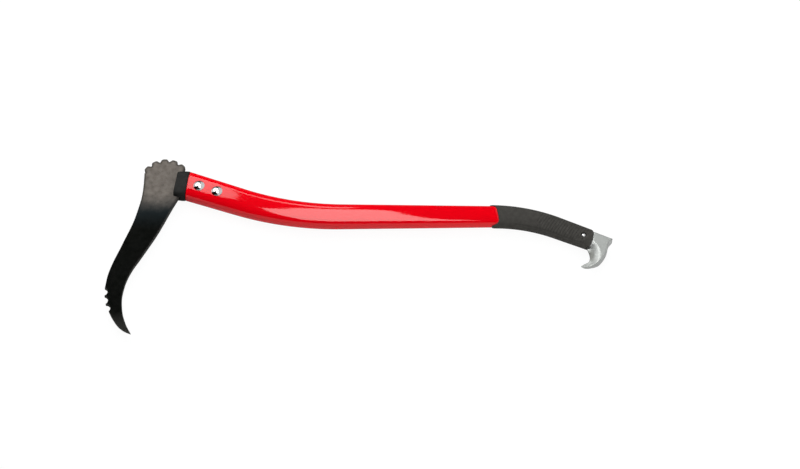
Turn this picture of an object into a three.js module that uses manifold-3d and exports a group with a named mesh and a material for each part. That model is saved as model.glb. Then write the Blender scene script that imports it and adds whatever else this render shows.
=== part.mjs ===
// A sappie: a hand tool for dragging, lifting and rolling small logs. A flat forged head with a
// toothed poll and a long curved pick is riveted, through a moulded collar, into a bent and tapered
// oval aluminium tube. The other end has a ribbed rubber sleeve and a small cast hook.
// Lengths are in millimetres and angles in degrees. X runs along the handle, Y lies across it in
// the plane of the pick, and Z is the thickness. The tool lies on its side.

import * as THREE from 'three';
import { mergeVertices } from 'three/addons/utils/BufferGeometryUtils.js';
import Module from 'manifold-3d';

const wasm = await Module();
wasm.setup();

// Fits
const gap = 0.3;
const overrun = 10;
const weldShare = 0.001;

// Handle path, from the tube's mouth to its tail
const headStraightLength = 83;
const headBendRadius = 456;
const headBendAngle = 19.2;
const middleStraightLength = 225.3;
const gripBendRadius = 240;
const gripBendAngle = 23.1;
const tailStraightLength = 55.8;

// Handle tube: an oval that tapers to the tail
const mouthHeight = 45.6;
const mouthThickness = 25;
const gripHeight = 33.5;
const gripThickness = 19.3;
const tailHeight = 29.2;
const tailThickness = 16.6;
const tubeWallThickness = 2;
const ovalPower = 2.5;
const gripSeatDepth = 1;
const gripSeatRampLength = 4;
const mouthLeanAngle = 11.2;
const tailLeanAngle = 9.1;
const tubeEndSetBackLength = 5;

// Rubber sleeve
const sleeveLength = 145.4;
const sleeveWallThickness = 2.1;
const sleeveStartLeanAngle = 11.9;
const sleeveStartWaveDepth = 12.6;
const sleeveEndLeanAngle = 11.3;
const sleeveEndWaveDepth = 6.5;
const sleeveWavePower = 8;
const waveFadeLength = 30;
const plainFieldLength = 54.5;
const ribFieldLength = 70;
const ribPitch = 5;
const ribGrooveWidth = 1.9;
const ribGrooveDepth = 0.8;
const ribFieldShare = 0.8;

// Collar between head and tube
const collarReach = 18.3;
const collarHeight = 40.2;
const collarThickness = 23;
const collarCentreHeight = 1.1;
const collarCornerPower = 6;
const collarChamferWidth = 1.2;
const rimWidth = 8.6;
const rimLipHeight = 0.4;
const plugLength = 70;

// Head plate
const plateThickness = 8;
const plateChamferWidth = 0.9;
const pollReach = 34.3;
const pollHeight = 8.3;
const pollRadius = 37.2;
const pollToothDepth = 4.4;
const pollToothCount = 5;
const pollToothAngle = 24.8;
const pollStartAngle = 32;
const shoulderReach = 28.2;
const shoulderDepth = 2.2;
const heelLength = 2.2;
const heelHeight = 8;
const pickReach = 79;
const pickLength = 256.7;
const notchDepth = 4.2;
const notchLandWidth = 1.4;
const tipThicknessShare = 0.5;
const taperStartShare = 0.2;
const pickTipFadeLength = 20;
const tangHeight = 26;
const tangLength = 62;
const tangCornerRadius = 6;

// Rivets through tube, collar and tang
const firstRivetLength = 18.5;
const rivetSpacing = 28.5;
const rivetShankDiameter = 8;
const rivetHeadDiameter = 16.4;
const rivetDomeHeight = 3.2;

// End hook and its pin
const hookLength = 29;
const hookHeight = 48;
const hookThickness = 16;
const hookChamferWidth = 1.3;
const hookTipFadeLength = 14;
const hookEdgeThickness = 3;
const throatRadius = 17.6;
const throatRimRadius = 33.5;
const throatSetBackLength = 9.3;
const throatDepth = 32.6;
const neckLength = 9;
const spigotLength = 38;
const pinSetBackLength = 13.7;
const pinShankDiameter = 4;
const pinHeadDiameter = 6.6;
const pinDomeHeight = 1.6;
const pinWindowDiameter = 9;

// Facets
const ovalSides = 36;
const rivetSides = 24;
const roundSides = 20;

// Outline shares. The pick's points are shares of its reach and drop from the poll's centre.
const pickBackShares = [
  [-0.4, 0.05], [-0.402, -0.031], [-0.421, -0.108], [-0.46, -0.171], [-0.553, -0.281],
  [-0.711, -0.41], [-0.865, -0.527], [-0.963, -0.623], [-1, -0.71],
];
const pickToothShares = [
  [-1, -0.71], [-0.996, -0.761], [-0.965, -0.815], [-0.896, -0.861],
];
const pickFrontShares = [[-0.896, -0.861], [-0.824, -0.905], [-0.717, -0.953], [-0.603, -0.982]];
const pickTipShares = [-0.473, -1];
const pickThroatShares = [
  [-0.531, -0.968], [-0.583, -0.932], [-0.642, -0.873], [-0.671, -0.803], [-0.666, -0.748],
  [-0.615, -0.669], [-0.516, -0.592], [-0.371, -0.513], [-0.09, -0.354], [0.145, -0.193],
];

// The hook's points are shares of its length along the handle and of its drop below the axis.
const seatStartShare = -0.32;
const seatEndShare = 0.246;
const heelShares = [0.948, 0.236];
const hookBackShares = [
  [0.925, 0.175], [0.868, 0.035], [0.9, -0.108], [0.931, -0.26], [0.91, -0.427], [0.846, -0.585],
  [0.785, -0.675], [0.657, -0.785], [0.52, -0.868], [0.355, -0.945], [0.176, -0.985],
];
const hookTipShares = [0.02, -0.975];
const hookThroatShares = [
  [0.112, -0.886], [0.276, -0.752], [0.268, -0.619], [0.146, -0.485], [-0.085, -0.32],
];

const paint = new THREE.MeshStandardMaterial({ color: 0xd2101c, roughness: 0.22, metalness: 0.1 });
const steel = new THREE.MeshStandardMaterial({ color: 0x2b2926, roughness: 0.42, metalness: 0.85 });
const nylon = new THREE.MeshStandardMaterial({ color: 0x1b1b1a, roughness: 0.5, metalness: 0 });
const rubber = new THREE.MeshStandardMaterial({ color: 0x2e2d2b, roughness: 0.8, metalness: 0 });
const cast = new THREE.MeshStandardMaterial({ color: 0xa9aba8, roughness: 0.45, metalness: 0.9 });
const bright = new THREE.MeshStandardMaterial({ color: 0xd9dadb, roughness: 0.15, metalness: 1 });

const radians = THREE.MathUtils.degToRad;
const lerp = THREE.MathUtils.lerp;

// Solids and geometries

function toSolid(geometry) {
  const bare = geometry.index ? geometry.clone() : geometry;
  bare.deleteAttribute('normal');
  bare.deleteAttribute('uv');
  const merged = mergeVertices(bare, gap * weldShare);
  return new wasm.Manifold(new wasm.Mesh({
    numProp: 3,
    vertProperties: new Float32Array(merged.attributes.position.array),
    triVerts: new Uint32Array(merged.index.array),
  }));
}

function toGeometry(solid) {
  const mesh = solid.getMesh();
  const geometry = new THREE.BufferGeometry();
  geometry.setAttribute('position', new THREE.BufferAttribute(mesh.vertProperties, 3));
  geometry.setIndex(new THREE.BufferAttribute(mesh.triVerts, 1));
  geometry.computeVertexNormals();
  return geometry;
}

// Faces between neighbouring rings that all have the same number of points.
function bandFaces(ringCount, sides, joined) {
  const faces = [];
  const bands = joined ? ringCount : ringCount - 1;
  for (let ring = 0; ring < bands; ring += 1) {
    const next = (ring + 1) % ringCount;
    for (let side = 0; side < sides; side += 1) {
      const turn = (side + 1) % sides;
      const [low, lowTurn] = [ring * sides + side, ring * sides + turn];
      const [high, highTurn] = [next * sides + side, next * sides + turn];
      faces.push(low, lowTurn, highTurn, low, highTurn, high);
    }
  }
  return faces;
}

function solidFrom(points, faces) {
  const geometry = new THREE.BufferGeometry().setFromPoints(points);
  geometry.setIndex(faces);
  return toSolid(geometry);
}

// A hollow body: the rings run along the outside and come back along the bore.
function hollowLoft(rings) {
  return solidFrom(rings.flat(), bandFaces(rings.length, rings[0].length, true));
}

// A full body whose two ends are closed round their centres.
function loft(rings) {
  const sides = rings[0].length;
  const points = rings.flat();
  const faces = bandFaces(rings.length, sides, false);
  const last = (rings.length - 1) * sides;
  for (const [start, isFirst] of [[0, true], [last, false]]) {
    const centre = new THREE.Vector3();
    for (let side = 0; side < sides; side += 1) {
      centre.add(points[start + side]);
    }
    const centreIndex = points.push(centre.divideScalar(sides)) - 1;
    for (let side = 0; side < sides; side += 1) {
      const turn = (side + 1) % sides;
      const edge = isFirst ? [start + turn, start + side] : [start + side, start + turn];
      faces.push(centreIndex, ...edge);
    }
  }
  return solidFrom(points, faces);
}

// The outline moved inward at each point by that point's distance.
function insetOutline(points, distanceAt) {
  return points.map((point, index) => {
    const before = points.at(index - 1).clone().sub(point).negate().normalize();
    const after = points[(index + 1) % points.length].clone().sub(point).normalize();
    const inward = new THREE.Vector2(-before.y - after.y, before.x + after.x).normalize();
    const spread = Math.max(-inward.x * before.y + inward.y * before.x, 1 / 2);
    return point.clone().addScaledVector(inward, distanceAt(point) / spread);
  });
}

// A chamfer that narrows towards a sharp tip.
function fadingChamfer(chamfer, tip, fadeLength) {
  const leastShare = 0.15;
  return (point) => {
    return chamfer * THREE.MathUtils.clamp(point.distanceTo(tip) / fadeLength, leastShare, 1);
  };
}

// The outline's parts above and below a crease line, as lists of point numbers.
function partsAtCrease(points, creaseY) {
  const numbers = points.map((_, index) => index);
  const above = numbers.filter((index) => points[index].y >= creaseY);
  const below = numbers.filter((index) => points[index].y <= creaseY);
  return [above, below].filter((part) => part.length > 0);
}

// A plate with chamfered edges round an outline that runs anticlockwise. Its thickness and its
// chamfer can change from point to point, and its faces stay flat on each side of a crease.
function plate(points, thicknessAt, chamferAt, creaseY = -Infinity) {
  const inset = insetOutline(points, chamferAt);
  const level = (outline, side, chamferShare) => outline.map((point, index) => {
    const height = thicknessAt(point) / 2 - chamferShare * chamferAt(points[index]);
    return new THREE.Vector3(point.x, point.y, side * height);
  });
  const rings = [level(inset, -1, 0), level(points, -1, 1), level(points, 1, 1), level(inset, 1, 0)];
  const sides = points.length;
  const faces = bandFaces(rings.length, sides, false);
  const last = (rings.length - 1) * sides;
  for (const part of partsAtCrease(points, creaseY)) {
    const corners = part.map((index) => inset[index]);
    for (const triangle of THREE.ShapeUtils.triangulateShape(corners, [])) {
      const [first, second, third] = triangle.map((corner) => part[corner]);
      faces.push(third, second, first);
      faces.push(last + first, last + second, last + third);
    }
  }
  return solidFrom(rings.flat(), faces);
}

// The handle's path and section

const rivetPlaces = [firstRivetLength, firstRivetLength + rivetSpacing];
const headBendLength = headBendRadius * radians(headBendAngle);
const gripBendLength = gripBendRadius * radians(gripBendAngle);
const handleRuns = [
  { length: headStraightLength, curvature: 0 },
  { length: headBendLength, curvature: 1 / headBendRadius },
  { length: middleStraightLength, curvature: 0 },
  { length: gripBendLength, curvature: -1 / gripBendRadius },
  { length: tailStraightLength, curvature: 0 },
];
const handleLength = handleRuns.reduce((sum, run) => sum + run.length, 0);
const tubeLength = handleLength - tubeEndSetBackLength;
const sleeveStart = handleLength - sleeveLength;
const sleeveEdge = sleeveStart + gripSeatRampLength;
const ribFieldStart = sleeveStart + plainFieldLength;
const pinPlace = handleLength - pinSetBackLength;

// The place and heading of the axis at a distance from the mouth. Past either end it runs straight.
function axisAt(distance) {
  let heading = -radians(headBendAngle);
  let x = 0;
  let y = 0;
  let left = distance;
  for (const [index, run] of handleRuns.entries()) {
    const isLast = index === handleRuns.length - 1;
    const step = isLast ? left : Math.min(left, run.length);
    const turned = heading + run.curvature * step;
    if (run.curvature === 0) {
      x += step * Math.cos(heading);
      y += step * Math.sin(heading);
    } else {
      x += (Math.sin(turned) - Math.sin(heading)) / run.curvature;
      y -= (Math.cos(turned) - Math.cos(heading)) / run.curvature;
    }
    heading = turned;
    left -= step;
    if (left <= 0) break;
  }
  return { x, y, heading };
}

// A point given along the axis, across it in the plane of the pick, and up from the mid-plane.
function handlePoint(along, across, up) {
  const { x, y, heading } = axisAt(along);
  return new THREE.Vector3(x - across * Math.sin(heading), y + across * Math.cos(heading), up);
}

function sizeAt(distance) {
  if (distance < sleeveStart) {
    const share = Math.max(distance, 0) / sleeveStart;
    return [lerp(mouthHeight, gripHeight, share), lerp(mouthThickness, gripThickness, share)];
  }
  const share = (distance - sleeveStart) / sleeveLength;
  return [lerp(gripHeight, tailHeight, share), lerp(gripThickness, tailThickness, share)];
}

// The oval's unit point at a side number: across and up, each from -1 to 1.
function ovalUnit(side, power) {
  const angle = (side / ovalSides) * 2 * Math.PI;
  const spread = (value) => Math.sign(value) * Math.abs(value) ** (2 / power);
  return [spread(Math.cos(angle)), spread(Math.sin(angle))];
}

const noChange = () => 0;

// A ring of the handle, grown outward by an offset. The shift moves each point along the axis, and
// the groove draws it in by the height of the point on the oval.
function handleRing(distance, offset, shift = noChange, grooveAt = noChange) {
  return Array.from({ length: ovalSides }, (_, side) => {
    const [acrossUnit, upUnit] = ovalUnit(side, ovalPower);
    const [roughHeight] = sizeAt(distance);
    const along = distance + shift(acrossUnit, acrossUnit * roughHeight / 2);
    const [height, thickness] = sizeAt(along);
    const grown = offset - grooveAt(upUnit);
    return handlePoint(along, acrossUnit * (height / 2 + grown), upUnit * (thickness / 2 + grown));
  });
}

const leanShift = (lean) => (unit, across) => -across * Math.tan(radians(lean));

// The sleeve's two edges lean, and they run back in a wave at the handle's two narrow sides.
const waveShift = (lean, depth) => (unit, across) => {
  return leanShift(lean)(unit, across) - depth * Math.abs(unit) ** sleeveWavePower;
};
const sleeveStartShift = waveShift(sleeveStartLeanAngle, sleeveStartWaveDepth);
const sleeveEndShift = waveShift(sleeveEndLeanAngle, sleeveEndWaveDepth);

function evenSteps(start, end, count) {
  return Array.from({ length: count }, (_, step) => lerp(start, end, (step + 1) / count));
}

// The handle's rings: few on the straights and more in the bends. From the sleeve's edge on, the
// tube is drawn in as a seat.
const straightRings = 3;
const headBendRings = 7;
const gripBendRings = 6;
const headBendEnd = headStraightLength + headBendLength;
const gripBendStart = headBendEnd + middleStraightLength;
const gripBendEnd = gripBendStart + gripBendLength;
const shownDistances = [
  headStraightLength / 2,
  headStraightLength,
  ...evenSteps(headStraightLength, headBendEnd, headBendRings),
  ...evenSteps(headBendEnd, sleeveStart - waveFadeLength, straightRings),
];
const seatDistances = [
  ...evenSteps(sleeveEdge, gripBendEnd, gripBendRings),
  tubeLength - tailStraightLength / 2,
];
const station = (distance, seated, shift = noChange) => ({ distance, seated, shift });
const tubeStations = [
  station(0, false, leanShift(mouthLeanAngle)),
  ...shownDistances.map((distance) => station(distance, false)),
  station(sleeveStart, false, sleeveStartShift),
  station(sleeveEdge, true, sleeveStartShift),
  ...seatDistances.map((distance) => station(distance, true)),
  station(tubeLength, true, leanShift(tailLeanAngle)),
];

// Upright holes through the handle at a distance along its axis.
function crossCylinder(distance, diameter, sides = roundSides) {
  const length = mouthThickness + 2 * overrun;
  const geometry = new THREE.CylinderGeometry(diameter / 2, diameter / 2, length, sides);
  geometry.rotateX(Math.PI / 2);
  const { x, y } = axisAt(distance);
  geometry.translate(x, y, 0);
  return toSolid(geometry);
}

function handleBody(offset, seatDepth) {
  return tubeStations.map(({ distance, seated, shift }) => {
    return handleRing(distance, offset - (seated ? seatDepth : 0), shift);
  });
}

function makeTube() {
  const outside = handleBody(0, gripSeatDepth);
  const inside = handleBody(-tubeWallThickness, 0);
  let tube = hollowLoft([...outside, ...inside.reverse()]);
  for (const place of rivetPlaces) {
    tube = tube.subtract(crossCylinder(place, rivetShankDiameter + 2 * gap));
  }
  return tube.subtract(crossCylinder(pinPlace, pinShankDiameter + 2 * gap));
}

// Rubber sleeve: a thin ribbed skin whose two ends are cut in waves

const sleeveBore = gap - gripSeatDepth;
const sleeveOutside = sleeveBore + sleeveWallThickness;

// The shift of the two edges fades out along the sleeve.
function sleeveShift(distance) {
  const { smoothstep } = THREE.MathUtils;
  const startShare = 1 - smoothstep(distance, sleeveStart, sleeveStart + waveFadeLength);
  const endShare = smoothstep(distance, handleLength - waveFadeLength, handleLength);
  return (unit, across) => {
    return startShare * sleeveStartShift(unit, across) + endShare * sleeveEndShift(unit, across);
  };
}

function sleeveRing(distance, offset, grooveDepth = 0) {
  return handleRing(distance, offset, sleeveShift(distance), (upUnit) => {
    const field = THREE.MathUtils.smoothstep(Math.abs(upUnit), 1 - ribFieldShare, 1);
    return grooveDepth * Math.sqrt(field);
  });
}

function makeSleeve() {
  const edge = sleeveWallThickness / 4;
  const hem = 2 * sleeveWallThickness;
  const rings = [
    sleeveRing(sleeveStart, gap),
    sleeveRing(sleeveStart, sleeveOutside - edge),
    sleeveRing(sleeveStart + edge, sleeveOutside),
  ];
  const plainRings = 7;
  for (const distance of evenSteps(sleeveStart, ribFieldStart - ribPitch, plainRings)) {
    rings.push(sleeveRing(distance, sleeveOutside));
  }
  for (let step = 0; step < ribFieldLength / ribPitch; step += 1) {
    const place = ribFieldStart + step * ribPitch;
    rings.push(sleeveRing(place, sleeveOutside));
    rings.push(sleeveRing(place + ribGrooveWidth / 2, sleeveOutside, ribGrooveDepth));
    rings.push(sleeveRing(place + ribGrooveWidth, sleeveOutside));
  }
  rings.push(sleeveRing(handleLength - hem, sleeveOutside));
  rings.push(sleeveRing(handleLength, sleeveOutside - sleeveWallThickness / 2));
  rings.push(sleeveRing(handleLength, sleeveBore));
  for (const distance of [...seatDistances].reverse()) {
    rings.push(handleRing(distance, sleeveBore));
  }
  rings.push(handleRing(sleeveEdge, sleeveBore, sleeveStartShift));
  return hollowLoft(rings).subtract(crossCylinder(pinPlace, pinWindowDiameter));
}

// The collar's rings stand in planes that lean with the tube's mouth.

const planeLean = radians(headBendAngle - mouthLeanAngle);

function leaningRing(x, y, height, thickness, power) {
  return Array.from({ length: ovalSides }, (_, side) => {
    const [acrossUnit, upUnit] = ovalUnit(side, power);
    const across = acrossUnit * height / 2;
    return new THREE.Vector3(
      x + across * Math.sin(planeLean),
      y + across * Math.cos(planeLean),
      upUnit * thickness / 2,
    );
  });
}

// A point on the rim's front face at a distance across the tube's axis.
function rimPoint(across, clearance) {
  const along = -rimWidth - clearance - across * Math.tan(radians(mouthLeanAngle));
  return handlePoint(along, across, 0);
}

function makeCollar() {
  const stretch = 1 / Math.cos(radians(mouthLeanAngle));
  const rimHeight = (mouthHeight + 2 * rimLipHeight) * stretch;
  const rimThickness = mouthThickness + 2 * rimLipHeight;
  const mouthX = -gap;
  const mouthY = axisAt(-gap).y;
  // The shank's section changes evenly from its squarish front to the tube's oval.
  const shankRing = (x, share, inset) => leaningRing(
    x,
    lerp(collarCentreHeight, mouthY, share),
    lerp(collarHeight, rimHeight, share) - 2 * inset,
    lerp(collarThickness, rimThickness, share) - 2 * inset,
    lerp(collarCornerPower, ovalPower, share),
  );
  const shankStart = collarChamferWidth - collarReach;
  const shankEnd = mouthX - rimLipHeight;
  const shankShares = evenSteps(0, 1, straightRings);
  const shank = [
    shankRing(-collarReach, 0, collarChamferWidth),
    shankRing(shankStart, 0, 0),
    ...shankShares.map((share) => shankRing(lerp(shankStart, shankEnd, share), share, 0)),
    shankRing(mouthX, 1, rimLipHeight),
  ];
  const plugOffset = -tubeWallThickness - gap;
  const plug = [
    handleRing(-gap, plugOffset, leanShift(mouthLeanAngle)),
    handleRing(plugLength, plugOffset),
  ];
  const slotThickness = () => plateThickness + 2 * gap;
  const tangHalf = tangHeight / 2 + gap;
  const slot = [
    rimPoint(-2 * mouthHeight, 0),
    rimPoint(-tangHalf, 0),
    handlePoint(tangLength + gap, -tangHalf, 0),
    handlePoint(tangLength + gap, tangHalf, 0),
    rimPoint(tangHalf, 0),
    rimPoint(2 * mouthHeight, 0),
    rimPoint(2 * mouthHeight, 2 * collarReach),
    rimPoint(-2 * mouthHeight, 2 * collarReach),
  ];
  const slotOutline = slot.map(({ x, y }) => new THREE.Vector2(x, y));
  let collar = loft([...shank, ...plug]);
  collar = collar.subtract(plate(slotOutline, slotThickness, () => 0));
  for (const place of rivetPlaces) {
    collar = collar.subtract(crossCylinder(place, rivetShankDiameter + 2 * gap));
  }
  return collar;
}

// Head plate, outlined round the poll's centre

const pollX = -pollReach;
const pollY = pollHeight;

function pickPoint([reachShare, dropShare]) {
  return new THREE.Vector2(pollX + reachShare * pickReach, pollY + dropShare * pickLength);
}

function splinePoints(points, count) {
  return new THREE.SplineCurve(points).getPoints(count);
}

// The line of points with one more where it crosses a height in the plan.
function withCrossing(points, y) {
  const next = points.findIndex((point, index) => {
    return index > 0 && (points[index - 1].y - y) * (point.y - y) < 0;
  });
  const [from, to] = [points[next - 1], points[next]];
  const crossing = new THREE.Vector2(lerp(from.x, to.x, (y - from.y) / (to.y - from.y)), y);
  return [...points.slice(0, next), crossing, ...points.slice(next)];
}

// The toothed dome, from the handle's side over the top to the pick's back.
function pollPoints() {
  const pointsPerTooth = 9;
  const notchPower = 6;
  return Array.from({ length: pollToothCount * pointsPerTooth + 1 }, (_, index) => {
    const phase = index / pointsPerTooth;
    const angle = radians(pollStartAngle + phase * pollToothAngle);
    const notch = Math.abs(Math.cos(Math.PI * phase)) ** notchPower;
    const radius = pollRadius - pollToothDepth * notch;
    return new THREE.Vector2(pollX + radius * Math.cos(angle), pollY + radius * Math.sin(angle));
  });
}

// Round bites in the pick's back that leave narrow lands between them.
function notchPoints() {
  const corners = pickToothShares.map(pickPoint);
  const points = [];
  const arcSteps = 8;
  for (let index = 0; index + 1 < corners.length; index += 1) {
    const from = corners[index];
    const to = corners[index + 1];
    const chord = to.clone().sub(from);
    const along = chord.clone().normalize();
    const inward = new THREE.Vector2(-along.y, along.x);
    const halfChord = chord.length() / 2 - notchLandWidth / 2;
    const middle = from.clone().add(to).multiplyScalar(1 / 2);
    const radius = (halfChord ** 2 + notchDepth ** 2) / (2 * notchDepth);
    const sweep = Math.asin(halfChord / radius);
    for (let step = 0; step <= arcSteps; step += 1) {
      const angle = lerp(-sweep, sweep, step / arcSteps);
      const depth = notchDepth - radius * (1 - Math.cos(angle));
      points.push(middle.clone()
        .addScaledVector(along, radius * Math.sin(angle))
        .addScaledVector(inward, depth));
    }
  }
  return points;
}

function tangPoints() {
  const half = tangHeight / 2;
  const arcSteps = 4;
  const points = [rimPoint(-half, gap)];
  for (const side of [-1, 1]) {
    for (let step = 0; step <= arcSteps; step += 1) {
      const turn = side < 0 ? step : arcSteps - step;
      const angle = radians(90 * turn / arcSteps);
      const along = tangLength - tangCornerRadius + tangCornerRadius * Math.sin(angle);
      const across = side * (half - tangCornerRadius + tangCornerRadius * Math.cos(angle));
      points.push(handlePoint(along, across, 0));
    }
  }
  points.push(rimPoint(half, gap));
  return points.map(({ x, y }) => new THREE.Vector2(x, y));
}

// Where the rim's front face stands at a height in the plan, with the clearance.
function shoulderX(y) {
  const base = rimPoint(0, gap);
  return base.x + (y - base.y) * Math.tan(planeLean);
}

function makeHead() {
  const backSteps = 22;
  const frontSteps = 9;
  const throatSteps = 34;
  const back = splinePoints(pickBackShares.map(pickPoint), backSteps);
  const notches = notchPoints();
  const front = splinePoints([...pickFrontShares, pickTipShares].map(pickPoint), frontSteps);
  const shoulder = rimPoint(-tangHeight / 2 - shoulderDepth, gap);
  const heel = new THREE.Vector2(shoulder.x - heelLength, shoulder.y - heelHeight);
  const throatCurve = [...[pickTipShares, ...pickThroatShares].map(pickPoint), heel];
  const throat = splinePoints(throatCurve, throatSteps);
  const topShoulderY = pollY + pollRadius * Math.sin(radians(pollStartAngle)) - pollToothDepth;
  const shoulderSide = pollX + shoulderReach;
  // The pick's faces slope from a crease below the poll, so it grows thinner to its tip.
  const taperStart = pollY - taperStartShare * pickLength;
  const taperEnd = pollY - pickLength;
  const outline = [
    ...pollPoints(),
    ...withCrossing(back, taperStart).slice(0, -1),
    ...notches,
    ...front.slice(1, -1),
    ...withCrossing(throat, taperStart),
    new THREE.Vector2(shoulder.x, shoulder.y),
    ...tangPoints(),
    new THREE.Vector2(Math.min(shoulderSide, shoulderX(topShoulderY)), topShoulderY),
  ];
  const taperAt = ({ y }) => {
    const share = THREE.MathUtils.clamp((y - taperStart) / (taperEnd - taperStart), 0, 1);
    return lerp(1, tipThicknessShare, share);
  };
  const fading = fadingChamfer(plateChamferWidth, pickPoint(pickTipShares), pickTipFadeLength);
  // The chamfer is narrow in the notches, so that it leaves the lands between them.
  const chamferAt = (point) => (notches.includes(point) ? notchLandWidth / 4 : fading(point));
  let head = plate(outline, (point) => plateThickness * taperAt(point), chamferAt, taperStart);
  for (const place of rivetPlaces) {
    head = head.subtract(crossCylinder(place, rivetShankDiameter + 2 * gap));
  }
  return head;
}

// Domed rivets: the heads seat on the oval tube, and the shank runs between them

function domedHead(diameter, dome, seat, sides) {
  const steps = 6;
  const radius = (diameter ** 2 / 4 + dome ** 2) / (2 * dome);
  const sweep = Math.asin(diameter / 2 / radius);
  const profile = [new THREE.Vector2(0, 0), new THREE.Vector2(diameter / 2, 0)];
  for (let step = 0; step < steps; step += 1) {
    const angle = lerp(sweep, 0, step / steps);
    const height = seat + dome - radius * (1 - Math.cos(angle));
    profile.push(new THREE.Vector2(radius * Math.sin(angle), height));
  }
  profile.push(new THREE.Vector2(0, seat + dome));
  const geometry = new THREE.LatheGeometry(profile, sides);
  geometry.rotateX(Math.PI / 2);
  return geometry;
}

const rivet = {
  shankDiameter: rivetShankDiameter,
  headDiameter: rivetHeadDiameter,
  domeHeight: rivetDomeHeight,
  seatDepth: 0,
};
const pin = {
  shankDiameter: pinShankDiameter,
  headDiameter: pinHeadDiameter,
  domeHeight: pinDomeHeight,
  seatDepth: gripSeatDepth,
};

function makeRivet(distance, { shankDiameter, headDiameter, domeHeight, seatDepth }) {
  const { x, y } = axisAt(distance);
  const seat = sizeAt(distance)[1] / 2 + gap - seatDepth;
  const heads = [0, Math.PI].map((turn) => {
    const head = domedHead(headDiameter, domeHeight, seat, rivetSides);
    head.rotateX(turn);
    head.translate(x, y, 0);
    return toSolid(head);
  });
  const core = loft(handleBody(gap - seatDepth, 0));
  const shank = new THREE.CylinderGeometry(shankDiameter / 2, shankDiameter / 2, 2 * seat, roundSides);
  shank.rotateX(Math.PI / 2);
  shank.translate(x, y, 0);
  return heads[0].add(heads[1]).subtract(core).add(toSolid(shank));
}

// End hook, outlined in the handle's own frame past its end

function hookPoint([alongShare, acrossShare]) {
  const { x, y } = handlePoint(handleLength + alongShare * hookLength, acrossShare * hookHeight, 0);
  return new THREE.Vector2(x, y);
}

// The hook's body starts just clear of the sleeve's waved end.
function hookSeatPoints() {
  const seatSteps = 8;
  return Array.from({ length: seatSteps + 1 }, (_, step) => {
    const across = hookHeight * lerp(seatStartShare, seatEndShare, step / seatSteps);
    const unit = across / (tailHeight / 2 + sleeveOutside + gap);
    const { x, y } = handlePoint(handleLength + sleeveEndShift(unit, across) + gap, across, 0);
    return new THREE.Vector2(x, y);
  });
}

function throatCutter() {
  const top = hookThickness / 2;
  const edge = hookEdgeThickness / 2;
  const steps = 5;
  const profile = [new THREE.Vector2(0, edge), new THREE.Vector2(throatRadius, edge)];
  for (let step = 1; step <= steps; step += 1) {
    const share = step / steps;
    profile.push(new THREE.Vector2(
      lerp(throatRadius, throatRimRadius, share),
      lerp(edge, top, Math.sin(share * Math.PI / 2)),
    ));
  }
  profile.push(new THREE.Vector2(throatRimRadius, top + overrun), new THREE.Vector2(0, top + overrun));
  const { x, y } = handlePoint(handleLength - throatSetBackLength, -throatDepth, 0);
  const cutters = [0, Math.PI].map((turn) => {
    const geometry = new THREE.LatheGeometry(profile, 2 * roundSides);
    geometry.rotateX(Math.PI / 2);
    geometry.rotateX(turn);
    geometry.translate(x, y, 0);
    return toSolid(geometry);
  });
  return cutters[0].add(cutters[1]);
}

function makeHook() {
  const backSteps = 18;
  const throatSteps = 14;
  const back = splinePoints([...hookBackShares, hookTipShares].map(hookPoint), backSteps);
  const throat = splinePoints([hookTipShares, ...hookThroatShares].map(hookPoint), throatSteps);
  const outline = [
    ...hookSeatPoints(),
    hookPoint(heelShares),
    ...back,
    ...throat.slice(1, -1),
  ].reverse();
  const chamferAt = fadingChamfer(hookChamferWidth, hookPoint(hookTipShares), hookTipFadeLength);
  const body = plate(outline, () => hookThickness, chamferAt);
  const neckStart = leanShift(tailLeanAngle);
  const neck = loft([
    handleRing(tubeLength + gap, -gripSeatDepth, neckStart),
    handleRing(tubeLength + neckLength, -gripSeatDepth),
  ]);
  const spigot = loft([
    handleRing(tubeLength - spigotLength, -tubeWallThickness - gap),
    handleRing(tubeLength + neckLength, -tubeWallThickness - gap),
  ]);
  const hook = body.subtract(throatCutter()).add(neck).add(spigot);
  return hook.subtract(crossCylinder(pinPlace, pinShankDiameter + 2 * gap));
}

const [frontPlace, rearPlace] = rivetPlaces;
const pieces = [
  ['pick_head', makeHead(), steel],
  ['head_collar', makeCollar(), nylon],
  ['handle_tube', makeTube(), paint],
  ['rivet_front', makeRivet(frontPlace, rivet), bright],
  ['rivet_rear', makeRivet(rearPlace, rivet), bright],
  ['grip_sleeve', makeSleeve(), rubber],
  ['end_hook', makeHook(), cast],
  ['hook_pin', makeRivet(pinPlace, pin), bright],
];

const sappie = new THREE.Group();
for (const [name, solid, material] of pieces) {
  const mesh = new THREE.Mesh(toGeometry(solid), material);
  mesh.name = name;
  sappie.add(mesh);
}

// The origin is at the middle of the tool's bounds, on the surface that it lies on.
const bounds = new THREE.Box3().setFromObject(sappie);
const centre = bounds.getCenter(new THREE.Vector3());
sappie.position.set(-centre.x, -centre.y, -bounds.min.z);
sappie.updateMatrixWorld(true);

export default sappie;
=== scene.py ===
"""Looks of a sappie, a hand tool for dragging and turning small logs, built round its CAD frame.

Shapes are worked out in millimetres in the plan of the handle: its origin is the middle of the
tube's mouth, X runs along the tool, Y lies across it away from the pick's point and Z is the
tool's thickness. A Plan places them in the frame, in metres. Angles in the sizes are degrees.
"""

import logging
import math
from dataclasses import dataclass, field
from enum import Enum
from typing import Callable, Sequence

import bpy
import numpy as np
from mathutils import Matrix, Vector
from mathutils.geometry import delaunay_2d_cdt


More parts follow.
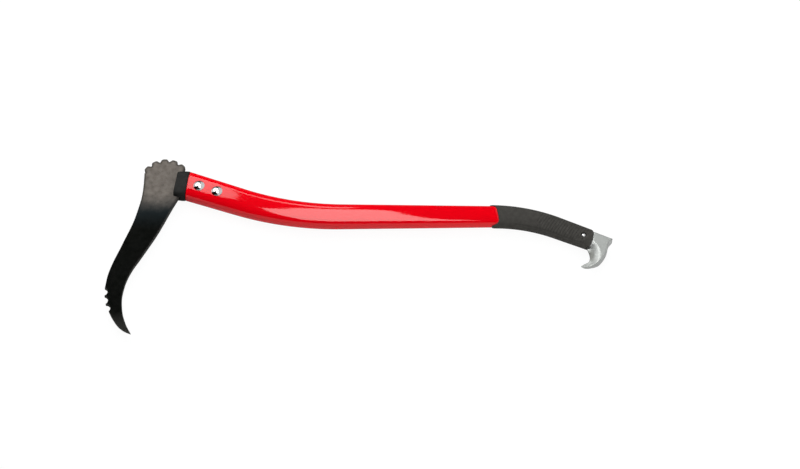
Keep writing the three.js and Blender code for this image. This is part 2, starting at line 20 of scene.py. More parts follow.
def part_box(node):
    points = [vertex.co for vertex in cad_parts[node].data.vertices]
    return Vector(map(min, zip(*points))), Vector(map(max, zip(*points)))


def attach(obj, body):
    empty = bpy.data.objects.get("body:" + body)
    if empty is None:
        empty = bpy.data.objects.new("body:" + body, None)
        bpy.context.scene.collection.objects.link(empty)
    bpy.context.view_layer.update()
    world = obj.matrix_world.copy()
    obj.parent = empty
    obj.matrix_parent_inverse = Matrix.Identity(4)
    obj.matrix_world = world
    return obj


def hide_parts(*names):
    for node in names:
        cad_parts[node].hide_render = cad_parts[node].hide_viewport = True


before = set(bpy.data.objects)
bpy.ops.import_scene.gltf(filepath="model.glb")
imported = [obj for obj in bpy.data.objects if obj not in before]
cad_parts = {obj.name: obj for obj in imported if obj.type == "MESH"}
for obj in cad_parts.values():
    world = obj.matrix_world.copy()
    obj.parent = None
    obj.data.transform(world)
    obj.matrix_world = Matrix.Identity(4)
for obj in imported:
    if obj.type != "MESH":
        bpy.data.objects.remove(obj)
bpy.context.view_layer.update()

Array = np.ndarray
Colour = tuple[float, float, float]
Corner = tuple[float, float, float]
Pair = tuple[float, float]
Shares = tuple[Pair, ...]
Socket = bpy.types.NodeSocket

log = logging.getLogger("sappie")
MILLIMETRE = 0.001
BODY = "root"
NOISE_RANGE = (0.3, 0.7)


class Slot(Enum):
    """The record's material slots."""

    FORGED_STEEL = "forged_steel"
    NYLON = "nylon"
    PAINTED_ALLOY = "painted_alloy"
    RIVET_STEEL = "rivet_steel"
    GRIP_RUBBER = "grip_rubber"
    CAST_ALLOY = "cast_alloy"


# Numbers and curves


def smoothstep(value: Array, low: float, high: float) -> Array:
    """Rise smoothly from 0 at low to 1 at high: 3t^2 - 2t^3 of the share t between them.

    Args:
        value: Where the rise is wanted.
        low: Value at which the rise starts.
        high: Value at which it ends.

    Returns:
        The risen shares, in the shape of value.
    """
    share = np.clip((np.asarray(value, float) - low) / (high - low), 0, 1)
    return share * share * (3 - 2 * share)


def band(value: Array, start: Pair, stop: Pair) -> Array:
    """Rise smoothly from 0 to 1 between the start's two values, and fall between the stop's."""
    return smoothstep(value, *start) * (1 - smoothstep(value, *stop))


def groove(offset: Array, width: float) -> Array:
    """Raised cosine: 0.5 + 0.5 cos(2 pi offset / width) within half the width of offset 0, and
    0 outside it."""
    return np.where(np.abs(offset) < width / 2, 0.5 + 0.5 * np.cos(2 * np.pi * offset / width), 0)


def lerp(first: Array, second: Array, share: Array) -> Array:
    """Straight mix: first at share 0 and second at share 1."""
    return first + (second - first) * share


def oval(angle: Array, power: float) -> tuple[Array, Array]:
    """Unit superellipse at an angle: (cos, sin) over (|cos|^p + |sin|^p)^(1/p).

    Args:
        angle: Angles round the oval, in radians.
        power: The superellipse's power: 2 is round, more is squarer.

    Returns:
        Across and up parts, each from -1 to 1.
    """
    across, up = np.cos(angle), np.sin(angle)
    radius = (np.abs(across) ** power + np.abs(up) ** power) ** (-1 / power)
    return across * radius, up * radius


def full_turn(count: int) -> Array:
    """Even angles round a full turn, in radians, without the last one that is the first."""
    return np.linspace(0, 2 * np.pi, count, endpoint=False)


def spline(points: Array, count: int) -> Array:
    """Catmull-Rom curve through points: a cubic on each span with half the neighbours' chord as
    its slope, and the end points standing in for the neighbours they lack.

    Args:
        points: Control points, one a row.
        count: Number of equal parameter steps along the whole curve.

    Returns:
        count + 1 points of the curve.
    """
    points = np.asarray(points, float)
    last = len(points) - 1
    place = np.linspace(0, last, count + 1)
    span = np.minimum(place.astype(int), last - 1)
    t = (place - span)[:, None]
    before, start = points[np.maximum(span - 1, 0)], points[span]
    end, after = points[span + 1], points[np.minimum(span + 2, last)]
    slope, end_slope = (end - before) / 2, (after - start) / 2
    cubic = 2 * start - 2 * end + slope + end_slope
    square = -3 * start + 3 * end - 2 * slope - end_slope
    return cubic * t**3 + square * t**2 + slope * t + start


def resample(points: Array, step: float) -> Array:
    """Points at even distances of about one step along an open line, its two ends kept.

    Args:
        points: The line's points.
        step: The distance wanted between neighbours.

    Returns:
        The line's new points.
    """
    travelled = np.concatenate([[0], np.cumsum(np.linalg.norm(np.diff(points, axis=0), axis=1))])
    count = max(int(round(travelled[-1] / step)), 1)
    places = np.linspace(0, travelled[-1], count + 1)
    return np.stack([np.interp(places, travelled, column) for column in points.T], axis=-1)


def apart(points: Array, least: float = 0.02) -> Array:
    """Whether each point of a closed outline stands off the one before it."""
    return np.linalg.norm(points - np.roll(points, 1, axis=0), axis=1) > least


# Meshes


@dataclass(frozen=True)
class Plan:
    """Where the plan's origin stands in the frame, in millimetres."""

    origin: Array

    def place(self, points: Array) -> Array:
        """Plan millimetres as frame metres."""
        return (points + self.origin) * MILLIMETRE


@dataclass
class Surface:
    """Points and faces that are gathered for one mesh."""

    points: list[Array] = field(default_factory=list)
    faces: list[list[int]] = field(default_factory=list)
    count: int = 0

    def add_points(self, points: Array) -> int:
        """Add points, one a row of the last axis, and return the first one's number."""
        first = self.count
        flat = np.asarray(points, float).reshape(-1, 3)
        self.points.append(flat)
        self.count += len(flat)
        return first

    def add_grid(self, grid: Array, wrap_rows: bool = False) -> int:
        """Add a grid of points whose columns close round on themselves.

        Args:
            grid: Points as rows x columns x 3. Faces turn outwards where the step to the next
                column crossed with the step to the next row does.
            wrap_rows: Whether the last row joins the first.

        Returns:
            The number of the grid's first point.
        """
        rows, columns = grid.shape[:2]
        first = self.add_points(grid)
        row, column = np.meshgrid(
            np.arange(rows if wrap_rows else rows - 1), np.arange(columns), indexing="ij"
        )
        next_row, next_column = (row + 1) % rows, (column + 1) % columns
        corners = [
            row * columns + column,
            row * columns + next_column,
            next_row * columns + next_column,
            next_row * columns + column,
        ]
        self.faces.extend((first + np.stack(corners, axis=-1).reshape(-1, 4)).tolist())
        return first

    def add_cap(self, start: int, columns: int, centre: Array, at_start: bool) -> None:
        """Close one end of a grid with a fan round a centre point.

        Args:
            start: Number of the end row's first point.
            columns: How many points the row has.
            centre: Where the fan's centre stands.
            at_start: Whether the row is the grid's first one.
        """
        hub = self.add_points(centre)
        here = start + np.arange(columns)
        turn = start + (np.arange(columns) + 1) % columns
        edge = (turn, here) if at_start else (here, turn)
        fan = np.stack([np.full(columns, hub), *edge], axis=-1)
        self.faces.extend(fan.tolist())

    def add_loft(self, grid: Array) -> None:
        """Add a grid whose first and last rows are closed round their middles."""
        rows, columns = grid.shape[:2]
        first = self.add_grid(grid)
        self.add_cap(first, columns, grid[0].mean(axis=0), at_start=True)
        last = first + (rows - 1) * columns
        self.add_cap(last, columns, grid[-1].mean(axis=0), at_start=False)

    def to_mesh(self, name: str, plan: Plan) -> bpy.types.Mesh:
        """Put the gathered points and faces into a smooth-shaded mesh in the frame."""
        mesh = bpy.data.meshes.new(name)
        mesh.from_pydata(plan.place(np.concatenate(self.points)).tolist(), [], self.faces)
        mesh.validate()
        mesh.polygons.foreach_set("use_smooth", np.ones(len(mesh.polygons), bool))
        mesh.update()
        return mesh


def new_object(name: str, data: bpy.types.ID) -> bpy.types.Object:
    """Put a mesh, a lamp or a camera into the scene as an object at the origin."""
    piece = bpy.data.objects.new(name, data)
    bpy.context.scene.collection.objects.link(piece)
    return piece


def apply_modifiers(piece: bpy.types.Object) -> None:
    """Replace an object's mesh by what its modifiers make of it."""
    depsgraph = bpy.context.evaluated_depsgraph_get()
    shaped = bpy.data.meshes.new_from_object(piece.evaluated_get(depsgraph))
    rough = piece.data
    piece.modifiers.clear()
    piece.data = shaped
    bpy.data.meshes.remove(rough)


def combine(piece: bpy.types.Object, other: bpy.types.Mesh, operation: str) -> None:
    """Cut a mesh out of an object, or join it on.

    Args:
        piece: The object that is changed.
        other: The mesh that is cut out or joined, used up by this.
        operation: DIFFERENCE or UNION.
    """
    tool = new_object("tool", other)
    boolean = piece.modifiers.new(operation.lower(), "BOOLEAN")
    boolean.object = tool
    boolean.operation = operation
    boolean.solver = "MANIFOLD"
    apply_modifiers(piece)
    bpy.data.objects.remove(tool)
    bpy.data.meshes.remove(other)


def soften_edges(piece: bpy.types.Object, width: float, angle: float, segments: int) -> None:
    """Round the edges that are sharper than an angle.

    Args:
        piece: The object that is changed.
        width: Width of the rounding, in millimetres.
        angle: Edges that turn more than this many degrees are rounded.
        segments: Number of faces across the rounding.
    """
    bevel = piece.modifiers.new("soft edges", "BEVEL")
    bevel.width = width * MILLIMETRE
    bevel.segments = segments
    bevel.limit_method = "ANGLE"
    bevel.angle_limit = math.radians(angle)
    apply_modifiers(piece)


# The handle's path and section, which every piece shares


@dataclass(frozen=True)
class Run:
    """A stretch of the handle's axis with one curvature."""

    length: float
    curvature: float = 0.0


@dataclass(frozen=True)
class Handle:
    """Path, section and stations of the handle."""

    head_straight: float = 83.0
    head_bend_radius: float = 456.0
    head_bend_angle: float = 19.2
    middle_straight: float = 225.3
    grip_bend_radius: float = 240.0
    grip_bend_angle: float = 23.1
    tail_straight: float = 55.8
    mouth_size: tuple[float, float] = (45.6, 25.0)
    grip_size: tuple[float, float] = (33.5, 19.3)
    tail_size: tuple[float, float] = (29.2, 16.6)
    power: float = 2.5
    gap: float = 0.3
    wall: float = 2.0
    mouth_lean: float = 11.2
    tube_set_back: float = 5.0
    sleeve_length: float = 145.4
    first_rivet: float = 18.5
    rivet_spacing: float = 28.5
    rivet_hole: float = 4.3
    pin_set_back: float = 13.7
    pin_hole: float = 2.3

    @property
    def runs(self) -> list[Run]:
        """The axis's runs, from the mouth to the tail."""
        head = self.head_bend_radius * math.radians(self.head_bend_angle)
        grip = self.grip_bend_radius * math.radians(self.grip_bend_angle)
        return [
            Run(self.head_straight),
            Run(head, 1 / self.head_bend_radius),
            Run(self.middle_straight),
            Run(grip, -1 / self.grip_bend_radius),
            Run(self.tail_straight),
        ]

    @property
    def mouth_slope(self) -> float:
        """Tangent of the mouth's lean."""
        return math.tan(math.radians(self.mouth_lean))

    @property
    def length(self) -> float:
        """Length of the axis from the mouth to the sleeve's end."""
        return sum(run.length for run in self.runs)

    @property
    def tube_length(self) -> float:
        """Length of the tube, which ends inside the sleeve."""
        return self.length - self.tube_set_back

    @property
    def sleeve_start(self) -> float:
        """Where the sleeve starts on the middle of its faces."""
        return self.length - self.sleeve_length

    @property
    def rivets(self) -> tuple[float, float]:
        """Where the two rivets stand."""
        return self.first_rivet, self.first_rivet + self.rivet_spacing

    @property
    def pin(self) -> float:
        """Where the hook's pin stands."""
        return self.length - self.pin_set_back

    def axis(self, along: Array) -> tuple[Array, Array, Array]:
        """Place and heading of the axis: each run adds its arc or straight to the ones before.

        Args:
            along: Distances from the mouth. Past either end the axis runs straight on.

        Returns:
            X, Y and heading in radians, each in the shape of along.
        """
        left = np.array(along, float)
        heading = np.full(left.shape, -math.radians(self.head_bend_angle))
        x, y = np.zeros(left.shape), np.zeros(left.shape)
        runs = self.runs
        for index, run in enumerate(runs):
            low = -np.inf if index == 0 else 0
            high = np.inf if index == len(runs) - 1 else run.length
            step = np.clip(left, low, high)
            turned = heading + run.curvature * step
            if run.curvature == 0:
                x = x + step * np.cos(heading)
                y = y + step * np.sin(heading)
            else:
                x = x + (np.sin(turned) - np.sin(heading)) / run.curvature
                y = y - (np.cos(turned) - np.cos(heading)) / run.curvature
            heading = turned
            left = left - step
        return x, y, heading

    def point(self, along: Array, across: Array, up: Array) -> Array:
        """Points given along the axis, across it in the plan and up: the axis's point plus
        across times its left normal, with up as the height.

        Args:
            along: Distances along the axis.
            across: Distances across it.
            up: Heights over the middle plane.

        Returns:
            Points, with X, Y and Z in the last axis.
        """
        along, across, up = np.broadcast_arrays(along, across, up)
        x, y, heading = self.axis(along)
        return np.stack([x - across * np.sin(heading), y + across * np.cos(heading), up], axis=-1)

    def size(self, along: Array) -> tuple[Array, Array]:
        """Height across and thickness of the tube, tapering straight from the mouth to the
        sleeve and from there to the tail.

        Args:
            along: Distances from the mouth.

        Returns:
            The height and the thickness at each.
        """
        along = np.asarray(along, float)
        first = np.clip(along / self.sleeve_start, 0, 1)
        second = np.maximum(along - self.sleeve_start, 0) / self.sleeve_length
        sizes = []
        for mouth, grip, tail in zip(self.mouth_size, self.grip_size, self.tail_size):
            sizes.append(mouth + (grip - mouth) * first + (tail - grip) * second)
        return sizes[0], sizes[1]

    def rings(self, along: Array, offset: Array, angle: Array) -> Array:
        """Rings of the handle's oval: at each distance the superellipse, scaled to the size
        there and grown by an offset.

        Args:
            along: Distances, one a ring or one a point.
            offset: How far the surface stands off the oval, likewise.
            angle: Angles round the oval, one a column.

        Returns:
            Points as rings x columns x 3.
        """
        across, up = oval(angle, self.power)
        height, thickness = self.size(along)
        return self.point(along, across * (height / 2 + offset), up * (thickness / 2 + offset))

    def top(self, x: Array, y: Array, station: float) -> Array:
        """Height of the tube's upper face over points near a station: the superellipse solved
        for its up part at the point's place across.

        Args:
            x: X of the points in the plan.
            y: Y of the points.
            station: Distance along the axis whose heading and size hold for them.

        Returns:
            Heights over the middle plane.
        """
        axis_x, axis_y, heading = self.axis(station)
        across = (y - axis_y) * np.cos(heading) - (x - axis_x) * np.sin(heading)
        height, thickness = self.size(station)
        unit = np.clip(np.abs(across) / (height / 2), 0, 1)
        return thickness / 2 * (1 - unit**self.power) ** (1 / self.power)


# Flat plates whose height is a function of the plan


def in_blocks(points: Array) -> list[Array]:
    """Points in blocks of about 500, which keeps the tables of points and sides small."""
    return np.array_split(points, max(len(points) // 500, 1))


def nearest_side(points: Array, outline: Array) -> tuple[Array, Array]:
    """Distance to a closed outline: what is left of the vector from a side's start when its part
    along the side, held between the side's ends, is taken away, at the nearest side.

    Args:
        points: Points in the plan.
        outline: The outline's corners.

    Returns:
        Each point's distance, and the number of the side that is nearest.
    """
    side = np.roll(outline, -1, axis=0) - outline
    squared = np.maximum((side**2).sum(axis=-1), 1e-12)
    distances, numbers = [], []
    for block in in_blocks(points):
        offset = block[:, None] - outline
        share = np.clip((offset * side).sum(axis=-1) / squared, 0, 1)
        reach = np.linalg.norm(offset - share[..., None] * side, axis=-1)
        numbers.append(reach.argmin(axis=1))
        distances.append(reach.min(axis=1))
    return np.concatenate(distances), np.concatenate(numbers)


def inside(points: Array, outline: Array) -> Array:
    """Whether points lie inside an outline: a level ray from each crosses it an odd number of
    times.

    Args:
        points: Points in the plan.
        outline: The outline's corners.

    Returns:
        A truth value for each point.
    """
    following = np.roll(outline, -1, axis=0)
    rise = following[:, 1] - outline[:, 1]
    rise = np.where(np.abs(rise) < 1e-9, 1e-9, rise)
    results = []
    for block in in_blocks(points):
        x, y = block[:, 0, None], block[:, 1, None]
        spans = (outline[:, 1] > y) != (following[:, 1] > y)
        crossing = outline[:, 0] + (y - outline[:, 1]) / rise * (following[:, 0] - outline[:, 0])
        results.append((spans & (x < crossing)).sum(axis=1) % 2 == 1)
    return np.concatenate(results)


@dataclass
class Plate:
    """A plate that is its own mirror image in the middle plane. Its half thickness is a function
    of the plan, less a round that falls away within an edge radius of the outline.

    Attributes:
        outline: The outline's corners, anticlockwise.
        edge_radius: The round's radius at each corner.
        half_thickness: Half of the plate's thickness over points of the plan.
        spacing: Distance between neighbours in the field of points.
        round_steps: Rows of points on the round.
        border: How many edge radii from the outline the rows end.
        clear_share: How much of its depth a row's point keeps from every side.
        field_gap: Room between the rows and the field, in spacings.
        row_share: Distance between the field's rows, in spacings.
        merge: Points nearer to each other than this become one.
    """

    outline: Array
    edge_radius: Array
    half_thickness: Callable[[Array], Array]
    spacing: float = 2.2
    round_steps: int = 5
    border: float = 1.9
    clear_share: float = 0.93
    field_gap: float = 0.45
    row_share: float = 0.866
    merge: float = 1e-5

    def inward(self) -> Array:
        """Unit normals that point inwards at the outline's corners, from the sides beside them."""
        before = self.outline - np.roll(self.outline, 1, axis=0)
        after = np.roll(self.outline, -1, axis=0) - self.outline
        before = before / np.linalg.norm(before, axis=1, keepdims=True)
        after = after / np.linalg.norm(after, axis=1, keepdims=True)
        tangent = before + after
        normal = np.stack([-tangent[:, 1], tangent[:, 0]], axis=-1)
        return normal / np.linalg.norm(normal, axis=1, keepdims=True)

    def scatter(self) -> Array:
        """Plan points for the faces: the outline, rows that follow it inwards over the round, and
        a field of points in staggered rows elsewhere."""
        normal = self.inward()
        rows = [self.outline]
        turns = np.linspace(0, np.pi / 2, self.round_steps + 1)[1:]
        shares = np.concatenate([1 - np.cos(turns), [self.border]])
        for share in shares:
            depth = self.edge_radius * share
            row = self.outline + normal * depth[:, None]
            distance, _ = nearest_side(row, self.outline)
            rows.append(row[(distance > depth * self.clear_share) & inside(row, self.outline)])
        low, high = self.outline.min(axis=0), self.outline.max(axis=0)
        step = self.spacing
        x, y = np.meshgrid(
            np.arange(low[0], high[0], step), np.arange(low[1], high[1], step * self.row_share)
        )
        x = x + (np.arange(len(x)) % 2)[:, None] * step / 2
        grid = np.stack([x.ravel(), y.ravel()], axis=-1)
        grid = grid[inside(grid, self.outline)]
        distance, side = nearest_side(grid, self.outline)
        keep = distance > self.edge_radius[side] * self.border + step * self.field_gap
        return np.concatenate([*rows, grid[keep]])

    def heights(self, points: Array, distance: Array, side: Array) -> Array:
        """Half thickness less the round: r - sqrt(r^2 - (r - d)^2) within r of the outline.

        Args:
            points: Points in the plan.
            distance: Their distances d from the outline.
            side: The number of each one's nearest side, which has the radius r.

        Returns:
            Heights of the upper face.
        """
        radius = self.edge_radius[side]
        reach = np.clip(radius - distance, 0, radius)
        drop = radius - np.sqrt(np.maximum(radius**2 - reach**2, 0))
        return self.half_thickness(points) - drop

    def to_mesh(
        self, name: str, plan: Plan, to_plan: Callable[[Array], Array] = np.asarray
    ) -> bpy.types.Mesh:
        """Triangulate the plate's upper face, mirror it and join the two along the outline.

        Args:
            name: The mesh's name.
            plan: Places the mesh in the frame.
            to_plan: Turns the outline's coordinates into plan ones, where they aren't plan ones.

        Returns:
            A closed mesh with the point attribute edge_distance, in millimetres.
        """
        scattered = self.scatter()
        border = list(range(len(self.outline)))
        flat, _, triangles, origins, _, _ = delaunay_2d_cdt(
            [Vector(point) for point in scattered.tolist()], [], [border], 1, self.merge
        )
        points = np.array([tuple(point) for point in flat])
        corner = {source: number for number, sources in enumerate(origins) for source in sources}
        rim = np.array([corner[index] for index in border])
        distance, side = nearest_side(points, self.outline)
        distance[rim] = 0
        side[rim] = np.arange(len(rim))
        height = self.heights(points, distance, side)
        faces = np.array([triangle for triangle in triangles if len(triangle) == 3])
        first, second, third = (points[faces[:, index]] for index in range(3))
        turn = np.cross(second - first, third - first)
        faces[turn < 0] = faces[turn < 0][:, ::-1]

        placed = to_plan(points)
        upper = np.column_stack([placed, height])
        lower = np.column_stack([placed, -height])
        surface = Surface()
        surface.add_points(upper)
        below = surface.add_points(lower)
        surface.faces.extend(faces.tolist())
        surface.faces.extend((below + faces[:, ::-1]).tolist())
        middle = surface.add_points(upper[rim] * np.array([[[1, 1, 0.5]], [[1, 1, -0.5]]]))
        upper_row = middle + np.arange(len(rim))
        strip = [rim, upper_row, upper_row + len(rim), below + rim]
        for above, under in zip(strip, strip[1:]):
            quads = [np.roll(above, -1), above, under, np.roll(under, -1)]
            surface.faces.extend(np.stack(quads, axis=-1).tolist())
        mesh = surface.to_mesh(name, plan)
        edge = mesh.attributes.new("edge_distance", "FLOAT", "POINT")
        padded = np.concatenate([distance, distance, np.zeros(2 * len(rim))])
        edge.data.foreach_set("value", padded.astype(np.float32))
        return mesh


# Shader wiring


@dataclass
class Wiring:
    """Adds nodes to a node tree and joins their sockets."""

    tree: bpy.types.NodeTree

    def fill(self, node: bpy.types.Node, inputs: dict[str | int, object]) -> bpy.types.Node:
        """Join a node's inputs, named or numbered, to sockets, or write plain values on them.

        Args:
            node: The node to fill.
            inputs: A socket, a number or a colour for each of its inputs.

        Returns:
            The node.
        """
        for key, value in inputs.items():
            socket = node.inputs[key]
            if isinstance(value, bpy.types.NodeSocket):
                self.tree.links.new(value, socket)
            elif isinstance(value, tuple) and socket.type == "RGBA":
                socket.default_value = (*value, 1.0)
            else:
                socket.default_value = value
        return node

    def node(self, kind: str, inputs: dict[str | int, object] | None = None) -> bpy.types.Node:
        """Add a node and fill its inputs."""
        return self.fill(self.tree.nodes.new(kind), inputs or {})

    def group(self, tree: bpy.types.NodeTree, inputs: dict[str, object]) -> bpy.types.Node:
        """Place a shared effect and fill its inputs."""
        node = self.tree.nodes.new("ShaderNodeGroup")
        node.node_tree = tree
        return self.fill(node, inputs)

    def maths(self, operation: str, first: object, second: object = 0.0) -> Socket:
        """A Math node's result for two values."""
        node = self.node("ShaderNodeMath", {0: first, 1: second})
        node.operation = operation
        return node.outputs[0]

    def span(
        self, value: object, low: object, high: object, start: float = 0.0, end: float = 1.0
    ) -> Socket:
        """A smooth rise from start, where the value is low, to end, where it is high."""
        node = self.node("ShaderNodeMapRange", {0: value, 1: low, 2: high, 3: start, 4: end})
        node.interpolation_type = "SMOOTHSTEP"
        return node.outputs[0]

    def zone(self, value: object, ends: Pair) -> Socket:
        """A smooth rise from 0 to 1 between two places in millimetres."""
        return self.span(value, ends[0] * MILLIMETRE, ends[1] * MILLIMETRE)

    def blend(self, share: object, first: object, second: object, most: float = 1.0) -> Socket:
        """A colour mix: first at share 0, and at share 1 second, or as much of it as most says."""
        if most < 1:
            share = self.maths("MULTIPLY", share, most)
        node = self.tree.nodes.new("ShaderNodeMix")
        node.data_type = "RGBA"
        return self.fill(node, {0: share, 6: first, 7: second}).outputs[2]

    def noise(self, place: Socket, grain: float, detail: float, rough: float = 0.5) -> Socket:
        """Noise whose grains are about so many millimetres wide."""
        scale = 1 / (grain * MILLIMETRE)
        given = {"Vector": place, "Scale": scale, "Detail": detail, "Roughness": rough}
        return self.node("ShaderNodeTexNoise", given).outputs["Fac"]

    def bump(self, height: object, strength: float, depth: float) -> Socket:
        """A Bump node for heights from 0 to 1 over a depth in millimetres."""
        given = {"Strength": strength, "Height": height, "Distance": depth * MILLIMETRE}
        return self.node("ShaderNodeBump", given).outputs["Normal"]

    def place(self) -> Socket:
        """Object coordinates, which are the frame's metres."""
        return self.node("ShaderNodeTexCoord").outputs["Object"]

    def parts(self, place: Socket) -> tuple[Socket, Socket, Socket]:
        """X, Y and Z of a place."""
        x, y, z = self.node("ShaderNodeSeparateXYZ", {0: place}).outputs
        return x, y, z

    def attribute(self, name: str) -> Socket:
        """A float attribute of the piece."""
        node = self.node("ShaderNodeAttribute")
        node.attribute_name = name
        return node.outputs["Fac"]


def new_group(
    name: str, inputs: Sequence[str], outputs: Sequence[str]
) -> tuple[Wiring, dict[str, Socket], bpy.types.Node]:
    """Start a shader node group that takes a Place and some numbers, and puts out numbers.

    Args:
        name: The group's name.
        inputs: Names of its inputs beside Place.
        outputs: Names of its outputs.

    Returns:
        Its wiring, its input sockets by name, and its output node.
    """
    tree = bpy.data.node_groups.new(name, "ShaderNodeTree")
    tree.interface.new_socket("Place", in_out="INPUT", socket_type="NodeSocketVector")
    for side, labels in (("INPUT", inputs), ("OUTPUT", outputs)):
        for label in labels:
            tree.interface.new_socket(label, in_out=side, socket_type="NodeSocketFloat")
    source = tree.nodes.new("NodeGroupInput")
    sink = tree.nodes.new("NodeGroupOutput")
    return Wiring(tree), {label: source.outputs[label] for label in ("Place", *inputs)}, sink


@dataclass(frozen=True)
class Effects:
    """Shader effects that several finishes share."""

    mottle: bpy.types.NodeTree
    grain: bpy.types.NodeTree
    edge_wear: bpy.types.NodeTree

    @classmethod
    def build(cls) -> "Effects":
        """Build each effect once."""
        return cls(cls.build_mottle(), cls.build_grain(), cls.build_edge_wear())

    @staticmethod
    def build_mottle() -> bpy.types.NodeTree:
        """Cloudy patches with finer flecks in them, from 0 to 1."""
        wiring, given, sink = new_group("Mottle", ["Scale", "Contrast"], ["Mask"])
        broad = wiring.node(
            "ShaderNodeTexNoise",
            {"Vector": given["Place"], "Scale": given["Scale"], "Detail": 5.0, "Roughness": 0.62},
        )
        centred = wiring.maths("SUBTRACT", broad.outputs["Fac"], 0.5)
        spread = wiring.maths("MULTIPLY", centred, given["Contrast"])
        clamped = wiring.node("ShaderNodeClamp", {0: wiring.maths("ADD", spread, 0.5)})
        wiring.fill(sink, {"Mask": clamped.outputs[0]})
        return wiring.tree

    @staticmethod
    def build_grain() -> bpy.types.NodeTree:
        """Fine grain: a height for bumps, and a mask of scattered pits."""
        wiring, given, sink = new_group("Grain", ["Scale", "Pits"], ["Height", "Pit Mask"])
        where = {"Vector": given["Place"], "Scale": given["Scale"]}
        fine = wiring.node("ShaderNodeTexNoise", {**where, "Detail": 3.0, "Roughness": 0.6})
        cells = wiring.node("ShaderNodeTexVoronoi", where)
        pits = wiring.span(cells.outputs["Distance"], 0.0, given["Pits"], start=1.0, end=0.0)
        height = wiring.maths("SUBTRACT", fine.outputs["Fac"], pits)
        wiring.fill(sink, {"Height": height, "Pit Mask": pits})
        return wiring.tree

    @staticmethod
    def build_edge_wear() -> bpy.types.NodeTree:
        """Wear near an edge: it fades over a width, and noise breaks it up."""
        wiring, given, sink = new_group(
            "Edge Wear", ["Edge Distance", "Width", "Amount"], ["Mask"]
        )
        rub = wiring.noise(given["Place"], grain=3.0, detail=4.0, rough=0.65)
        breaks = wiring.span(rub, *NOISE_RANGE, start=0.25, end=1.6)
        ragged = wiring.maths("MULTIPLY", given["Width"], breaks)
        near = wiring.span(given["Edge Distance"], 0.0, ragged, start=1.0, end=0.0)
        wiring.fill(sink, {"Mask": wiring.maths("MULTIPLY", near, given["Amount"])})
        return wiring.tree


@dataclass
class Dressing(Wiring):
    """The wiring of one finish, with the shared effects at hand.

    Attributes:
        material: The finish's material.
        effects: The shared effects.
        here: Object coordinates.
    """

    material: bpy.types.Material
    effects: Effects
    here: Socket

    @classmethod
    def start(cls, name: str, effects: Effects) -> "Dressing":
        """Start a finish.

        Args:
            name: Its material's name.
            effects: The shared effects.

        Returns:
            Its wiring.
        """
        material = bpy.data.materials.new(name)
        material.use_nodes = True
        tree = material.node_tree
        return cls(tree, material, effects, Wiring(tree).place())

    def patches(self, scale: float, contrast: float) -> Socket:
        """The mottle's mask."""
        given = {"Place": self.here, "Scale": scale, "Contrast": contrast}
        return self.group(self.effects.mottle, given).outputs["Mask"]

    def grain(self, scale: float, pits: float) -> tuple[Socket, Socket]:
        """The grain's height and its mask of pits."""
        given = {"Place": self.here, "Scale": scale, "Pits": pits}
        node = self.group(self.effects.grain, given)
        return node.outputs["Height"], node.outputs["Pit Mask"]

    def wear(self, edge: Socket, width: float, amount: object) -> Socket:
        """The edge wear's mask."""
        given = {"Place": self.here, "Edge Distance": edge, "Width": width, "Amount": amount}
        return self.group(self.effects.edge_wear, given).outputs["Mask"]

    def dress(self, inputs: dict[str, object]) -> bpy.types.Material:
        """Fill the shader's inputs and hand the finished material back."""
        self.fill(self.tree.nodes["Principled BSDF"], inputs)
        return self.material


# Finishes


@dataclass(frozen=True)
class Finish:
    """A finish whose colour and roughness drift with the mottle, over a grain of small bumps.

    Attributes:
        name: The material's name.
        dark: Its colour where the mottle is 0.
        light: Its colour where the mottle is 1.
        mottle: The mottle's scale and contrast.
        grain: The grain's scale and the reach of its pits.
        roughness: The roughness where the mottle is 0, and where it is 1.
        relief: The bumps' strength, and their depth in millimetres.
        specular: The specular level.
        metallic: How metallic it is.
    """

    name: str
    dark: Colour
    light: Colour
    mottle: Pair
    grain: Pair
    roughness: Pair
    relief: Pair
    specular: float = 0.5
    metallic: float = 0.0

    def tint(self, wiring: Dressing, patches: Socket, pits: Socket) -> Socket:
        """The base colour.

        Args:
            wiring: Where the nodes go.
            patches: The mottle's mask.
            pits: The grain's mask of pits.

        Returns:
            The colour's socket.
        """
        return wiring.blend(patches, self.dark, self.light)

    def build(self, effects: Effects) -> bpy.types.Material:
        """Wire the finish.

        Args:
            effects: The shared effects.

        Returns:
            The material.
        """
        wiring = Dressing.start(self.name, effects)
        patches = wiring.patches(*self.mottle)
        height, pits = wiring.grain(*self.grain)
        return wiring.dress({
            "Base Color": self.tint(wiring, patches, pits),
            "Roughness": wiring.span(patches, 0.0, 1.0, *self.roughness),
            "Normal": wiring.bump(height, *self.relief),
            "Specular IOR Level": self.specular,
            "Metallic": self.metallic,
        })


@dataclass(frozen=True)
class BlackNylon(Finish):
    """Black moulded nylon with a fine spark-eroded grain."""

    name: str = "black_nylon"
    dark: Colour = (0.0105, 0.0108, 0.0098)
    light: Colour = (0.0165, 0.0168, 0.0155)
    mottle: Pair = (210.0, 2.0)
    grain: Pair = (1500.0, 0.12)
    roughness: Pair = (0.58, 0.48)
    relief: Pair = (0.4, 0.05)
    specular: float = 0.12


@dataclass(frozen=True)
class PolishedSteel(Finish):
    """Polished steel with fine rubbed scratches."""

    name: str = "polished_steel"
    dark: Colour = (0.7, 0.7, 0.7)
    light: Colour = (0.86, 0.86, 0.855)
    mottle: Pair = (320.0, 2.2)
    grain: Pair = (1100.0, 0.08)
    roughness: Pair = (0.2, 0.1)
    relief: Pair = (0.12, 0.01)
    metallic: float = 1.0


